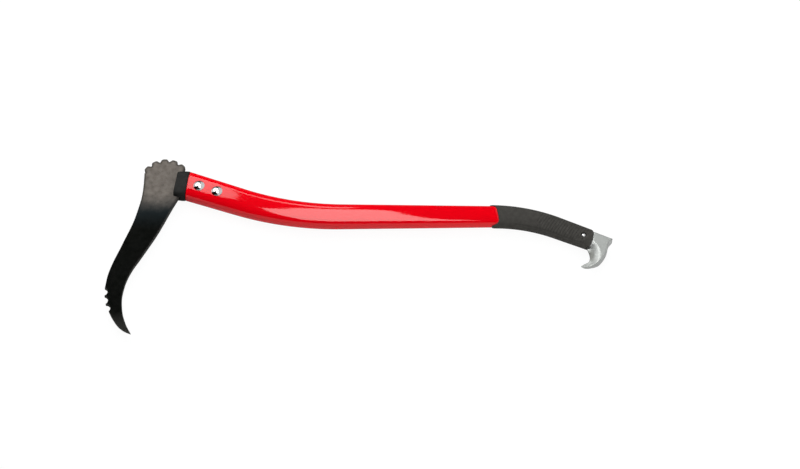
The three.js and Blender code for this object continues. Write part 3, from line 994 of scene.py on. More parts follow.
@dataclass(frozen=True)
class GripRubber(Finish):
    """Black rubber, matt, with fine pores and paler rubbed patches. The piece's deep attribute
    darkens the ribs' grooves with painted shade."""

    name: str = "grip_rubber"
    dark: Colour = (0.037, 0.0352, 0.0312)
    light: Colour = (0.05, 0.0474, 0.042)
    mottle: Pair = (150.0, 2.2)
    grain: Pair = (950.0, 0.26)
    roughness: Pair = (0.85, 0.72)
    relief: Pair = (0.7, 0.09)
    specular: float = 0.35
    # Dark colour of the pores, and of the painted shade in the grooves
    pore_and_groove_shade: Colour = (0.016, 0.0155, 0.0145)
    pore_share: float = 0.6
    groove_shade_share: float = 0.55

    def tint(self, wiring: Dressing, patches: Socket, pits: Socket) -> Socket:
        """The base colour, with darker pores and painted shade in the grooves.

        Args:
            wiring: Where the nodes go.
            patches: The mottle's mask.
            pits: The grain's mask of pits.

        Returns:
            The colour's socket.
        """
        colour = super().tint(wiring, patches, pits)
        colour = wiring.blend(pits, colour, self.pore_and_groove_shade, self.pore_share)
        # Painted shade: grooves of the ribs and border lines darken with their depth
        return wiring.blend(wiring.attribute("deep"), colour, self.pore_and_groove_shade, self.groove_shade_share)


@dataclass(frozen=True)
class CastAlloy(Finish):
    """Tumbled cast aluminium with a fine sandy skin, brighter edges and painted shade: a darker
    patch in the hollow of the throat, given in millimetres."""

    name: str = "cast_aluminium"
    dark: Colour = (0.4, 0.415, 0.4)
    light: Colour = (0.45, 0.468, 0.45)
    mottle: Pair = (170.0, 1.8)
    grain: Pair = (1000.0, 0.16)
    roughness: Pair = (0.5, 0.4)
    relief: Pair = (0.5, 0.05)
    metallic: float = 0.8
    edge: Colour = (0.56, 0.57, 0.56)
    edge_width: float = 0.9
    edge_share: float = 0.5
    # Painted shade in the hollow of the throat: its colour, centre, size and most share
    skin: Colour = (0.1, 0.102, 0.092)
    throat_shade_place: Pair = (339.0, -18.5)
    throat_shade_size: Pair = (7.0, 13.0)
    throat_shade_share: float = 0.85

    def tint(self, wiring: Dressing, patches: Socket, pits: Socket) -> Socket:
        """The base colour, with worn edges and the painted shade patch in the throat's hollow,
        which fades with the sum of squares of the place's parts over its size.

        Args:
            wiring: Where the nodes go.
            patches: The mottle's mask.
            pits: The grain's mask of pits, which this finish leaves alone.

        Returns:
            The colour's socket.
        """
        colour = super().tint(wiring, patches, pits)
        edge = wiring.attribute("edge_distance")
        wear = wiring.wear(edge, self.edge_width, self.edge_share)
        colour = wiring.blend(wear, colour, self.edge)
        # Painted shade: a soft dark patch in the hollow of the throat
        squares = []
        for part, centre, size in zip(wiring.parts(wiring.here), self.throat_shade_place, self.throat_shade_size):
            reach = wiring.maths("SUBTRACT", part, centre * MILLIMETRE)
            reach = wiring.maths("MULTIPLY", reach, 1 / (size * MILLIMETRE))
            squares.append(wiring.maths("MULTIPLY", reach, reach))
        skin = wiring.span(wiring.maths("ADD", *squares), 0.0, 1.0, self.throat_shade_share, 0.0)
        return wiring.blend(skin, colour, self.skin)


@dataclass(frozen=True)
class RedPaint:
    """Gloss red paint under a clear coat, with faint orange peel. Under the rubber sleeve the
    tube is painted dark from between two places along X, in millimetres: painted shade in the
    recess round the hook's pin."""

    colour: Colour = (0.88, 0.0008, 0.0075)
    deep_colour: Colour = (0.83, 0.0006, 0.0065)
    mottle: Pair = (14.0, 1.6)
    roughness: Pair = (0.28, 0.36)
    coat_roughness: float = 0.045
    speck_grain: float = 0.7
    peel_grain: float = 1.6
    peel_relief: Pair = (0.35, 0.004)
    # Painted shade: the tube turns dark under the sleeve, where the pin's recess shows it
    recess_shade: Colour = (0.012, 0.012, 0.012)
    recess_shade_start: Pair = (230.0, 240.0)

    def build(self, effects: Effects) -> bpy.types.Material:
        """Wire the finish.

        Args:
            effects: The shared effects.

        Returns:
            The material.
        """
        wiring = Dressing.start("red_paint", effects)
        cloud = wiring.patches(*self.mottle)
        colour = wiring.blend(cloud, self.deep_colour, self.colour)
        x, _, _ = wiring.parts(wiring.here)
        speck = wiring.noise(wiring.here, self.speck_grain, detail=2.0)
        peel = wiring.noise(wiring.here, self.peel_grain, detail=1.0)
        normal = wiring.bump(peel, *self.peel_relief)
        return wiring.dress({
            # Painted shade in the pin's recess: dark past a place along X
            "Base Color": wiring.blend(wiring.zone(x, self.recess_shade_start), colour, self.recess_shade),
            "Roughness": wiring.span(speck, *NOISE_RANGE, *self.roughness),
            "Specular IOR Level": 0.0,
            "Coat Weight": 1.0,
            "Coat Roughness": self.coat_roughness,
            "Normal": normal,
            "Coat Normal": normal,
        })


@dataclass(frozen=True)
class ForgedSteel:
    """Forged steel, brown-grey on the poll and near black on the blade, with a bluish dark band
    between them and painted shade near the poll's edges. The zones' ends are places along the
    tool's Y, in millimetres."""

    poll_light: Colour = (0.22, 0.197, 0.174)
    poll_dark: Colour = (0.125, 0.111, 0.098)
    blade: Colour = (0.0022, 0.0027, 0.002)
    # Worn black of the blade, also the painted shade near the poll's edges
    worn_black_and_edge_shade: Colour = (0.0055, 0.006, 0.0052)
    # A bluish dark colour for the band between poll and blade
    bluish_band: Colour = (0.014, 0.0195, 0.022)
    bare: Colour = (0.11, 0.108, 0.1)
    poll_zone: Pair = (53.0, 90.0)
    bluish_band_zone: Pair = (22.0, 70.0)
    tip_zone: Pair = (-108.0, -138.0)
    wander: float = 16.0
    wave_grain: float = 14.0
    mottle: Pair = (115.0, 2.6)
    grain: Pair = (620.0, 0.2)
    pit_share: float = 0.55
    # Painted shade: the poll darkens near its outline, between these distances in millimetres
    rim: Pair = (0.6, 4.5)
    edge_shade_share: float = 0.6
    tip_share: float = 0.22
    wear_width: float = 1.3
    wear_amounts: Pair = (0.45, 0.1)
    wear_metallic: float = 0.5
    roughness: Pair = (0.62, 0.5)
    specular: float = 0.012
    wave_height: float = 2.0
    relief: Pair = (0.6, 0.12)

    def build(self, effects: Effects) -> bpy.types.Material:
        """Wire the finish: places along the tool's Y part poll, bluish band and blade, and slow
        noise makes the limits wander to either side.

        Args:
            effects: The shared effects.

        Returns:
            The material.
        """
        wiring = Dressing.start("forged_steel_scale", effects)
        _, y, _ = wiring.parts(wiring.here)
        waves = wiring.noise(wiring.here, self.wave_grain, detail=5.0, rough=0.6)
        wander = wiring.maths("MULTIPLY", waves, self.wander * MILLIMETRE)
        shifted = wiring.maths("ADD", y, wander)
        poll, bluish_band = (
            wiring.zone(shifted, (start + self.wander / 2, end + self.wander / 2))
            for start, end in (self.poll_zone, self.bluish_band_zone)
        )
        tip = wiring.zone(y, self.tip_zone)
        patches = wiring.patches(*self.mottle)
        height, pits = wiring.grain(*self.grain)
        edge = wiring.attribute("edge_distance")
        # Painted shade: the poll's colour darkens near its outline
        rim = wiring.span(edge, *self.rim, self.edge_shade_share, 0.0)
        poll_colour = wiring.blend(patches, self.poll_dark, self.poll_light)
        poll_colour = wiring.blend(pits, poll_colour, self.worn_black_and_edge_shade, self.pit_share)
        poll_colour = wiring.blend(rim, poll_colour, self.worn_black_and_edge_shade)
        blade_colour = wiring.blend(patches, self.blade, self.worn_black_and_edge_shade)
        blade_colour = wiring.blend(bluish_band, blade_colour, self.bluish_band)
        blade_colour = wiring.blend(tip, blade_colour, self.bare, self.tip_share)
        colour = wiring.blend(poll, blade_colour, poll_colour)
        amount = wiring.span(poll, 0.0, 1.0, *self.wear_amounts)
        wear = wiring.wear(edge, self.wear_width, amount)
        relief = wiring.maths("ADD", height, wiring.maths("MULTIPLY", waves, self.wave_height))
        return wiring.dress({
            "Base Color": wiring.blend(wear, colour, self.bare),
            "Metallic": wiring.maths("MULTIPLY", wear, self.wear_metallic),
            "Roughness": wiring.span(patches, 0.0, 1.0, *self.roughness),
            "Specular IOR Level": self.specular,
            "Normal": wiring.bump(relief, *self.relief),
        })


# Sub-assemblies


@dataclass(frozen=True, kw_only=True)
class Part:
    """A sub-assembly of one closed piece. Each kind of part gives its own sizes and shape.

    Attributes:
        handle: The handle whose path and stations the piece follows.
        plan: Places the piece in the frame.
        name: The piece's name.
        node: The CAD node that it replaces.
        slot: The record's slot for its finish, which the build only logs.
        drill_reach: How far a drill goes to either side of the middle plane.
        drill_columns: How many sides a drilled hole has.
    """

    handle: Handle
    plan: Plan
    name: str
    node: str
    slot: Slot
    drill_reach: float = 30.0
    drill_columns: int = 48

    def shape(self) -> bpy.types.Object:
        """The piece before it is dressed.

        Returns:
            An object with a closed mesh.
        """
        raise NotImplementedError

    def drill(self, piece: bpy.types.Object, stations: Sequence[float], radius: float) -> None:
        """Cut round upright holes through a piece: a circle carried up and down past it.

        Args:
            piece: The object that is changed.
            stations: Where they stand along the handle's axis.
            radius: Their radius.
        """
        angle = full_turn(self.drill_columns)
        up = self.drill_reach * np.array([-1, 1])[:, None]
        for station in stations:
            x, y, _ = self.handle.axis(station)
            x = float(x) + radius * np.cos(angle) + 0 * up
            y = float(y) + radius * np.sin(angle) + 0 * up
            surface = Surface()
            surface.add_loft(np.stack([x, y, up + 0 * x], axis=-1))
            combine(piece, surface.to_mesh("drill", self.plan), "DIFFERENCE")

    def build(self, material: bpy.types.Material) -> None:
        """Make the piece, dress it and let it stand for its CAD node.

        Args:
            material: Its finish.
        """
        piece = self.shape()
        piece.data.materials.clear()
        piece.data.materials.append(material)
        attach(piece, BODY)
        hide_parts(self.node)
        faces = sum(len(face.vertices) - 2 for face in piece.data.polygons)
        log.info("%s for %s, %d triangles, %s", self.name, self.node, faces, self.slot.value)


@dataclass(frozen=True, kw_only=True)
class GripSleeve(Part):
    """The rubber sleeve: a thin skin with waved ends, a plain field and a ribbed one."""

    name: str = "grip_rubber_sleeve"
    node: str = "grip_sleeve"
    slot: Slot = Slot.GRIP_RUBBER
    outer: float = 1.4
    inner: float = -0.7
    inner_ramp: float = 4.0
    start_lean: float = 11.9
    start_wave: Pair = (8.0, 12.6)
    end_lean: float = 11.3
    end_wave: float = 6.5
    wave_power: float = 8.0
    wave_fade: float = 30.0
    plain_length: float = 60.0
    rib_length: float = 76.0
    rib_fade: float = 1.0
    rib_pitch: float = 4.15
    rib_width: float = 2.0
    rib_depth: float = 0.5
    rib_slant: float = 34.0
    rib_face: Pair = (0.5, 0.78)
    border_across: float = 0.8
    border_scale: float = 16.0
    border_width: float = 1.3
    border_depth: float = 0.3
    border_margins: Pair = (22.0, 8.0)
    border_fade: float = 8.0
    lip: float = 0.7
    lip_gap: float = 0.3
    lip_rows: int = 5
    window_radius: float = 4.2
    window_ramp: float = 1.6
    window_depth: float = 0.5
    row_step: float = 0.42
    bore_rows: int = 40
    columns: int = 144

    def start_shift(self, across: Array, height: Array) -> Array:
        """How far the start's edge lies before its middle: the lean's tangent times the place
        across, plus a wave that is the unit place across to a high power. The wave has its
        own reach on either side.

        Args:
            across: Unit places across the sleeve, from -1 to 1.
            height: The tube's height across there.

        Returns:
            The shifts along the axis.
        """
        lean = math.tan(math.radians(self.start_lean)) * across * height / 2
        wave = np.where(across > 0, *self.start_wave)
        return -lean - wave * np.abs(across) ** self.wave_power

    def end_shift(self, across: Array, height: Array) -> Array:
        """The same for the end's edge, whose wave is alike on both sides."""
        lean = math.tan(math.radians(self.end_lean)) * across * height / 2
        return -lean - self.end_wave * np.abs(across) ** self.wave_power

    def rib(self, place: Array, along: Array, up: Array) -> Array:
        """Depth of the ribs' grooves: one every pitch inside the ribbed field, on the faces
        only. The ribs run straight in the plan, at a slant from the Y axis.

        Args:
            place: The skin's points.
            along: Their distances along the axis.
            up: Their unit heights, one a column.

        Returns:
            Depths from 0 to 1.
        """
        slant = math.radians(self.rib_slant)
        travel = place[..., 0] * math.cos(slant) - place[..., 1] * math.sin(slant)
        phase = travel % self.rib_pitch - self.rib_pitch / 2
        start = self.handle.sleeve_start + self.plain_length
        end, fade = start + self.rib_length, self.rib_fade
        share = band(along, (start - fade, start + fade), (end - fade, end + fade))
        return groove(phase, self.rib_width) * share * smoothstep(np.abs(up), *self.rib_face)

    def border(self, along: Array, across: Array) -> Array:
        """Depth of the fine line along each side of the faces. The border's scale turns a share
        across the sleeve into millimetres.

        Args:
            along: Distances of the skin's points along the axis.
            across: Their unit places across, one a column.

        Returns:
            Depths from 0 to 1.
        """
        start = self.handle.sleeve_start + self.border_margins[0]
        stop = self.handle.length - self.border_margins[1]
        reach = (np.abs(across) - self.border_across) * self.border_scale
        fade = self.border_fade
        share = band(along, (start, start + fade), (stop - fade, stop))
        return groove(reach, self.border_width) * share

    def shape(self) -> bpy.types.Object:
        """Rings along the skin and back along the bore, with windows for the pin.

        Returns:
            The drilled piece.
        """
        handle = self.handle
        start, end = handle.sleeve_start, handle.length
        turn = np.linspace(0, np.pi / 2, self.lip_rows)
        lip_along = self.lip * (1 - np.cos(turn))
        lip_drop = self.lip * (1 - np.sin(turn))
        edge = self.lip + self.lip_gap
        middle = np.arange(start + edge, end - edge, self.row_step)
        bore = np.linspace(end, start, self.bore_rows)
        base = np.concatenate([start + lip_along, middle, end - lip_along[::-1], bore])
        drop = np.concatenate([lip_drop, np.zeros(len(middle)), lip_drop[::-1]])
        outside = len(drop)
        angle = full_turn(self.columns)
        across, up = oval(angle, handle.power)
        height = handle.size(base)[0][:, None]
        early = 1 - smoothstep(base, start, start + self.wave_fade)[:, None]
        late = smoothstep(base, end - self.wave_fade, end)[:, None]
        along = base[:, None] + self.start_shift(across, height) * early
        along = along + self.end_shift(across, height) * late
        flat = handle.rings(along, 0, angle)
        ribs = self.rib(flat, along, up)
        lines = self.border(along, across)
        x, y, _ = handle.axis(handle.pin)
        from_pin = np.hypot(flat[..., 0] - x, flat[..., 1] - y)
        ramp_end = self.window_radius + self.window_ramp
        hollow = self.window_depth * (1 - smoothstep(from_pin, self.window_radius, ramp_end))
        skin = self.outer - self.rib_depth * ribs - self.border_depth * lines - hollow
        skin[:outside] -= drop[:, None]
        seated = smoothstep(base, start, start + self.inner_ramp)
        inner = lerp(handle.gap, self.inner, seated)[:, None]
        offset = np.where(np.arange(len(base))[:, None] < outside, skin, inner)
        surface = Surface()
        surface.add_grid(handle.rings(along, offset, angle), wrap_rows=True)
        mesh = surface.to_mesh(self.name, self.plan)
        # Groove depths, which the rubber's finish turns into painted shade
        deep = mesh.attributes.new("deep", "FLOAT", "POINT")
        deep.data.foreach_set("value", np.maximum(ribs, lines).ravel().astype(np.float32))
        piece = new_object(self.name, mesh)
        self.drill(piece, [handle.pin], self.window_radius)
        return piece


@dataclass(frozen=True, kw_only=True)
class PaintedTube(Part):
    """The oval tube: rings along the outside and back along the bore, with rounded lips."""

    name: str = "tube_painted"
    node: str = "handle_tube"
    slot: Slot = Slot.PAINTED_ALLOY
    sleeve: GripSleeve
    seat_depth: float = 1.0
    seat_ramp: float = 4.0
    lean_reach: float = 45.0
    lip: float = 0.9
    lip_rows: int = 7
    ring_step: float = 1.8
    bore_step: float = 8.0
    columns: int = 112

    def lean(self, along: Array, across: Array) -> Array:
        """How far a point moves along the axis so that the mouth leans: minus its place across
        times the lean's tangent, fading out over the lean's reach."""
        fade = 1 - smoothstep(along, 0, self.lean_reach)
        return -across * self.handle.mouth_slope * fade

    def shape(self) -> bpy.types.Object:
        """Rings along the outside, drawn in a little under the sleeve, and back along the bore.

        Returns:
            The drilled piece.
        """
        handle = self.handle
        end = handle.tube_length
        outside = np.arange(self.lip, end - self.lip, self.ring_step)
        bore = np.arange(end - self.lip, self.lip, -self.bore_step)
        turn = np.linspace(0, np.pi, self.lip_rows + 2)[1:-1]
        round_off = self.lip * (1 - np.sin(turn))
        across_wall = -handle.wall / 2 * (1 + np.cos(turn))
        along = np.concatenate([round_off, outside, end - round_off[::-1], bore])[:, None]
        offset = np.concatenate([
            across_wall, np.zeros(len(outside)), across_wall[::-1],
            np.full(len(bore), -handle.wall),
        ])[:, None]
        angle = full_turn(self.columns)
        across, _ = oval(angle, handle.power)
        height, _ = handle.size(along)
        leaned = along + self.lean(along, across * height / 2)
        seat = handle.sleeve_start + self.sleeve.start_shift(across, height)
        drawn = self.seat_depth * smoothstep(leaned - seat, 0, self.seat_ramp)
        drawn = np.where(offset > -handle.wall / 2, drawn, 0)
        surface = Surface()
        surface.add_grid(handle.rings(leaned, offset - drawn, angle), wrap_rows=True)
        piece = new_object(self.name, surface.to_mesh(self.name, self.plan))
        self.drill(piece, handle.rivets, handle.rivet_hole)
        self.drill(piece, [handle.pin], handle.pin_hole)
        return piece


@dataclass(frozen=True, kw_only=True)
class DomedRivet(Part):
    """A rivet with a dome on both faces of the handle. Its skirts follow the oval tube."""

    slot: Slot = Slot.RIVET_STEEL
    station: float
    head_radius: float = 8.2
    dome: float = 3.2
    shank_radius: float = 4.0
    seat: float = 0.3
    clearance: float = 0.12
    edge: float = 0.35
    edge_drop: float = 0.05
    sunk: float = 0.0
    edge_rows: int = 5
    dome_rows: int = 16
    dome_hub: float = 0.02
    columns: int = 72

    def shape(self) -> bpy.types.Object:
        """A half profile carried round the rivet's axis and mirrored to the lower face. It runs
        out along the head's underside, up a small round edge and along a spherical dome whose
        radius is (r^2 + h^2) / 2h.

        Returns:
            The rivet.
        """
        handle = self.handle
        centre_x, centre_y, _ = handle.axis(self.station)
        _, thickness = handle.size(self.station)
        seat = float(thickness) / 2 + self.seat - self.sunk
        radius, dome = self.head_radius, self.dome
        sphere = (radius**2 + dome**2) / (2 * dome)
        widest = math.asin((radius - self.edge) / sphere)
        sweep = np.linspace(widest, self.dome_hub, self.dome_rows)
        turn = np.linspace(0, math.pi / 2 - math.asin(radius / sphere), self.edge_rows)
        rim_height = seat + dome - sphere + sphere * math.cos(sweep[0])
        rim_radius = radius - self.edge + self.edge * np.cos(turn)
        rim_level = rim_height - self.edge + self.edge * np.sin(turn)
        top_radius = np.concatenate([rim_radius[:-1], sphere * np.sin(sweep)])
        top_level = np.concatenate([rim_level[:-1], seat + dome - sphere * (1 - np.cos(sweep))])

        angle = full_turn(self.columns)
        under_radius = np.linspace(self.shank_radius, radius, self.edge_rows)
        x = centre_x + under_radius[:, None] * np.cos(angle)
        y = centre_y + under_radius[:, None] * np.sin(angle)
        under = handle.top(x, y, self.station) + self.clearance - self.sunk
        under = np.minimum(under, top_level[0] - self.edge_drop)
        upper_radius = np.concatenate([under_radius, top_radius])
        upper = np.concatenate([under, top_level[:, None] + 0 * angle])
        up = np.concatenate([-upper[::-1], upper])
        spread = np.concatenate([upper_radius[::-1], upper_radius])[:, None]
        x, y = centre_x + spread * np.cos(angle), centre_y + spread * np.sin(angle)
        surface = Surface()
        surface.add_loft(np.stack([x, y, up], axis=-1))
        return new_object(self.name, surface.to_mesh(self.name, self.plan))


@dataclass(frozen=True, kw_only=True)
class Collar(Part):
    """The moulded collar: a fork that grips the head, a rim against the tube's mouth and a plug
    inside the tube, slotted for the head's tang."""

    name: str = "collar_moulding"
    node: str = "head_collar"
    slot: Slot = Slot.NYLON
    reach: float = 18.3
    height: float = 40.2
    thickness: float = 23.0
    centre_height: float = 1.1
    corner_power: float = 6.0
    chamfer: float = 1.2
    rim_width: float = 8.6
    rim_lip: float = 0.4
    plug_stations: tuple[float, ...] = (15.0, 45.0, 70.0)
    slot_thickness: float = 8.6
    tang_height: float = 26.0
    tang_length: float = 62.0
    soft_width: float = 0.45
    soft_angle: float = 40.0
    soft_segments: int = 3
    edge_rows: int = 5
    shank_rows: int = 15
    columns: int = 120

    @property
    def lean(self) -> float:
        """Angle in the plan between the collar's rings and the Y axis, in radians."""
        return math.radians(self.handle.head_bend_angle - self.handle.mouth_lean)

    def rim_point(self, across: float, clearance: float) -> Array:
        """A point on the rim's front face at a distance across the tube's axis."""
        along = -self.rim_width - clearance - across * self.handle.mouth_slope
        return self.handle.point(along, across, 0.0)[:2]

    def ring(self, x: float, y: float, size: Pair, power: float) -> Array:
        """A superellipse ring that stands across the collar and leans with the mouth.

        Args:
            x: X of its centre in the plan.
            y: Y of its centre.
            size: Its height across and its thickness.
            power: The superellipse's power.

        Returns:
            The ring's points.
        """
        across, up = oval(full_turn(self.columns), power)
        across = across * size[0] / 2
        x, y = x + across * math.sin(self.lean), y + across * math.cos(self.lean)
        return np.stack([x, y, up * size[1] / 2], axis=-1)

    def shank_rings(self) -> list[Array]:
        """Rings from the collar's squarish front to its oval rim at the tube's mouth. The
        front's edge is a quarter round, and sizes and powers change evenly behind it."""
        handle = self.handle
        stretch = 1 / math.cos(math.radians(handle.mouth_lean))
        lip = 2 * self.rim_lip
        rim_size = ((handle.mouth_size[0] + lip) * stretch, handle.mouth_size[1] + lip)
        rings = []
        for turn in np.linspace(0, math.pi / 2, self.edge_rows):
            cut = 2 * self.chamfer * (1 - math.sin(turn))
            x = -self.reach + self.chamfer * (1 - math.cos(turn))
            size = (self.height - cut, self.thickness - cut)
            rings.append(self.ring(x, self.centre_height, size, self.corner_power))
        mouth_x = -handle.gap
        mouth_y = float(handle.axis(mouth_x)[1])
        for share in np.linspace(0, 1, self.shank_rows + 1)[1:]:
            x = lerp(self.chamfer - self.reach, mouth_x - self.rim_lip, share)
            y = lerp(self.centre_height, mouth_y, share)
            height = lerp(self.height, rim_size[0], share)
            thickness = lerp(self.thickness, rim_size[1], share)
            power = lerp(self.corner_power, handle.power, share)
            rings.append(self.ring(x, y, (height, thickness), power))
        size = (rim_size[0] - lip, rim_size[1] - lip)
        rings.append(self.ring(mouth_x, mouth_y, size, handle.power))
        return rings

    def plug_rings(self) -> list[Array]:
        """Rings of the plug, which fills the tube's bore less the gap. The first one leans with
        the mouth."""
        handle = self.handle
        angle = full_turn(self.columns)
        across, _ = oval(angle, handle.power)
        height, _ = handle.size(-handle.gap)
        leaned = -handle.gap - across * float(height) / 2 * handle.mouth_slope
        stations = [leaned, *(station + 0 * across for station in self.plug_stations)]
        return [handle.rings(along, -handle.wall - handle.gap, angle) for along in stations]

    def slot_mesh(self) -> bpy.types.Mesh:
        """The slot for the head: its outline in the plan, carried through its thickness."""
        half = self.tang_height / 2 + self.handle.gap
        far = 2 * self.handle.mouth_size[0]
        deep = self.tang_length + self.handle.gap
        flat = np.array([
            self.rim_point(-far, 0),
            self.rim_point(-half, 0),
            self.handle.point(deep, -half, 0)[:2],
            self.handle.point(deep, half, 0)[:2],
            self.rim_point(half, 0),
            self.rim_point(far, 0),
            self.rim_point(far, 2 * self.reach),
            self.rim_point(-far, 2 * self.reach),
        ])
        count = len(flat)
        up = np.repeat([-self.slot_thickness / 2, self.slot_thickness / 2], count)
        points = np.column_stack([np.tile(flat, (2, 1)), up])
        mesh = bpy.data.meshes.new("slot")
        sides = [[i, (i + 1) % count, count + (i + 1) % count, count + i] for i in range(count)]
        ends = [list(range(count))[::-1], list(range(count, 2 * count))]
        mesh.from_pydata(self.plan.place(points).tolist(), [], sides + ends)
        mesh.validate()
        return mesh

    def shape(self) -> bpy.types.Object:
        """The rings as one loft, slotted for the head, with its edges softened.

        Returns:
            The drilled piece.
        """
        surface = Surface()
        surface.add_loft(np.stack([*self.shank_rings(), *self.plug_rings()]))
        piece = new_object(self.name, surface.to_mesh(self.name, self.plan))
        combine(piece, self.slot_mesh(), "DIFFERENCE")
        self.drill(piece, self.handle.rivets, self.handle.rivet_hole)
        soften_edges(piece, self.soft_width, self.soft_angle, self.soft_segments)
        return piece


@dataclass(frozen=True, kw_only=True)
class ForgedHead(Part):
    """The forged head: a toothed poll, a long curved pick and a tang, in one plate. Its outline
    shares are shares of the pick's reach and drop from the poll's centre."""

    name: str = "forged_head"
    node: str = "pick_head"
    slot: Slot = Slot.FORGED_STEEL
    drill_reach: float = 12.0
    collar: Collar
    thickness: float = 8.0
    edge_radius: float = 1.0
    notch_edge_radius: float = 0.4
    poll_reach: float = 34.3
    poll_height: float = 8.3
    poll_radius: float = 37.2
    poll_start_angle: float = 32.0
    tooth_depth: float = 4.4
    tooth_count: int = 5
    tooth_angle: float = 24.8
    tooth_steps: int = 22
    tooth_power: float = 6.0
    shoulder_reach: float = 28.2
    shoulder_depth: float = 2.2
    heel_length: float = 2.2
    heel_height: float = 8.0
    pick_reach: float = 79.0
    pick_length: float = 256.7
    notch_depth: float = 4.2
    notch_land: float = 1.4
    notch_steps: int = 19
    tip_share: float = 0.5
    taper_start_share: float = 0.2
    tip_fade: float = 20.0
    tip_round: float = 0.15
    tang_corner: float = 6.0
    corner_steps: int = 7
    grind_width: float = 3.4
    grind_slope: float = 0.42
    grind_start: Pair = (-178.0, -160.0)
    grind_stop: Pair = (-112.0, -96.0)
    grind_stride: int = 3
    ripple_depth: float = 0.035
    step: float = 0.9
    front_step: float = 0.72
    back_steps: int = 300
    front_steps: int = 160
    throat_steps: int = 400
    back: Shares = (
        (-0.4, 0.05), (-0.402, -0.031), (-0.421, -0.108), (-0.46, -0.171), (-0.553, -0.281),
        (-0.711, -0.41), (-0.865, -0.527), (-0.963, -0.623), (-1.0, -0.71),
    )
    teeth: Shares = ((-1.0, -0.71), (-0.996, -0.761), (-0.965, -0.815), (-0.896, -0.861))
    front: Shares = (
        (-0.896, -0.861), (-0.824, -0.905), (-0.717, -0.953), (-0.603, -0.982), (-0.473, -1.0),
    )
    throat: Shares = (
        (-0.473, -1.0), (-0.531, -0.968), (-0.583, -0.932), (-0.642, -0.873), (-0.671, -0.803),
        (-0.666, -0.748), (-0.615, -0.669), (-0.516, -0.592), (-0.371, -0.513), (-0.09, -0.354),
        (0.145, -0.193),
    )

    @property
    def centre(self) -> Array:
        """The poll's centre in the plan."""
        return np.array([-self.poll_reach, self.poll_height])

    def pick_points(self, shares: Sequence[Sequence[float]]) -> Array:
        """Outline shares as plan points."""
        return self.centre + np.array(shares) * np.array([self.pick_reach, self.pick_length])

    def poll_points(self) -> Array:
        """The toothed dome: a radius that dips by the tooth depth times |cos(pi phase)|^n, with
        one phase a tooth."""
        phase = np.linspace(0, self.tooth_count, self.tooth_count * self.tooth_steps + 1)
        angle = np.radians(self.poll_start_angle + phase * self.tooth_angle)
        dip = np.abs(np.cos(np.pi * phase)) ** self.tooth_power
        radius = self.poll_radius - self.tooth_depth * dip
        return self.centre + radius[:, None] * np.stack([np.cos(angle), np.sin(angle)], axis=-1)

    def notch_points(self) -> Array:
        """Round bites between the pick's teeth: an arc over each chord, less the land between
        bites, that is as deep as the notch."""
        corners = self.pick_points(self.teeth)
        bites = []
        for start, end in zip(corners, corners[1:]):
            length = float(np.linalg.norm(end - start))
            along = (end - start) / length
            inward = np.array([-along[1], along[0]])
            half = length / 2 - self.notch_land / 2
            radius = (half**2 + self.notch_depth**2) / (2 * self.notch_depth)
            angle = np.linspace(-1, 1, self.notch_steps) * math.asin(half / radius)
            depth = self.notch_depth - radius * (1 - np.cos(angle))
            reach = radius * np.sin(angle)
            bites.append((start + end) / 2 + reach[:, None] * along + depth[:, None] * inward)
        return np.concatenate(bites)

    def tang_points(self) -> Array:
        """The tang, from the shoulder below it round to the one above it, its two corners
        rounded by quarter circles."""
        half, corner = self.collar.tang_height / 2, self.tang_corner
        turn = np.linspace(0, np.pi / 2, self.corner_steps)
        along = self.collar.tang_length - corner + corner * np.sin(turn)
        across = half - corner + corner * np.cos(turn)
        lower = self.handle.point(along, -across, 0.0)[:, :2]
        upper = self.handle.point(along, across, 0.0)[::-1, :2]
        low, high = (self.collar.rim_point(side, self.handle.gap) for side in (-half, half))
        return np.concatenate([low[None], lower, upper, high[None]])

    def outline(self) -> tuple[Array, Array, Array]:
        """The whole outline, anticlockwise.

        Returns:
            Its points, whether each lies in a notch, and whether each lies on the pick's back.
        """
        poll = self.poll_points()
        gap, step = self.handle.gap, self.step
        shoulder = self.collar.rim_point(-self.collar.tang_height / 2 - self.shoulder_depth, gap)
        heel = shoulder - np.array([self.heel_length, self.heel_height])
        throat = spline(np.vstack([self.pick_points(self.throat), heel]), self.throat_steps)
        top_y = self.centre[1] + self.poll_radius * math.sin(math.radians(self.poll_start_angle))
        top_y = top_y - self.tooth_depth
        base = self.collar.rim_point(0, gap)
        wall_x = base[0] + (top_y - base[1]) * math.tan(self.collar.lean)
        corner = np.array([min(self.centre[0] + self.shoulder_reach, wall_x), top_y])
        back = resample(spline(self.pick_points(self.back), self.back_steps), step)
        front = spline(self.pick_points(self.front), self.front_steps)
        front = resample(front, self.front_step)
        tang = self.tang_points()
        sections = {
            "poll": poll,
            "back": back[:-1],
            "notches": self.notch_points(),
            "front": front[1:-1],
            "throat": resample(throat, step),
            "heel": resample(np.stack([heel, shoulder]), step)[1:],
            "tang": tang,
            "shoulder": resample(np.stack([tang[-1], corner]), step)[1:],
            "top": resample(np.stack([corner, poll[0]]), step)[1:-1],
        }
        points = np.concatenate(list(sections.values()))
        labels = np.repeat(list(sections), [len(section) for section in sections.values()])
        keep = apart(points)
        return points[keep], labels[keep] == "notches", labels[keep] == "back"

    def ripple(self, x: Array, y: Array) -> Array:
        """Slow ripples of the hammer in the faces, 0 to about 0.1 deep: a product of two sines
        and a slanting one, some 20 to 60 mm long, lifted to lie above 0."""
        slow = np.sin(x / 6.1 + 0.7 * np.sin(y / 9.3)) * np.sin(y / 7.7 + 1.3)
        return self.ripple_depth * (1.6 + slow + 0.6 * np.sin(x / 3.3 + y / 4.9 + 0.4))

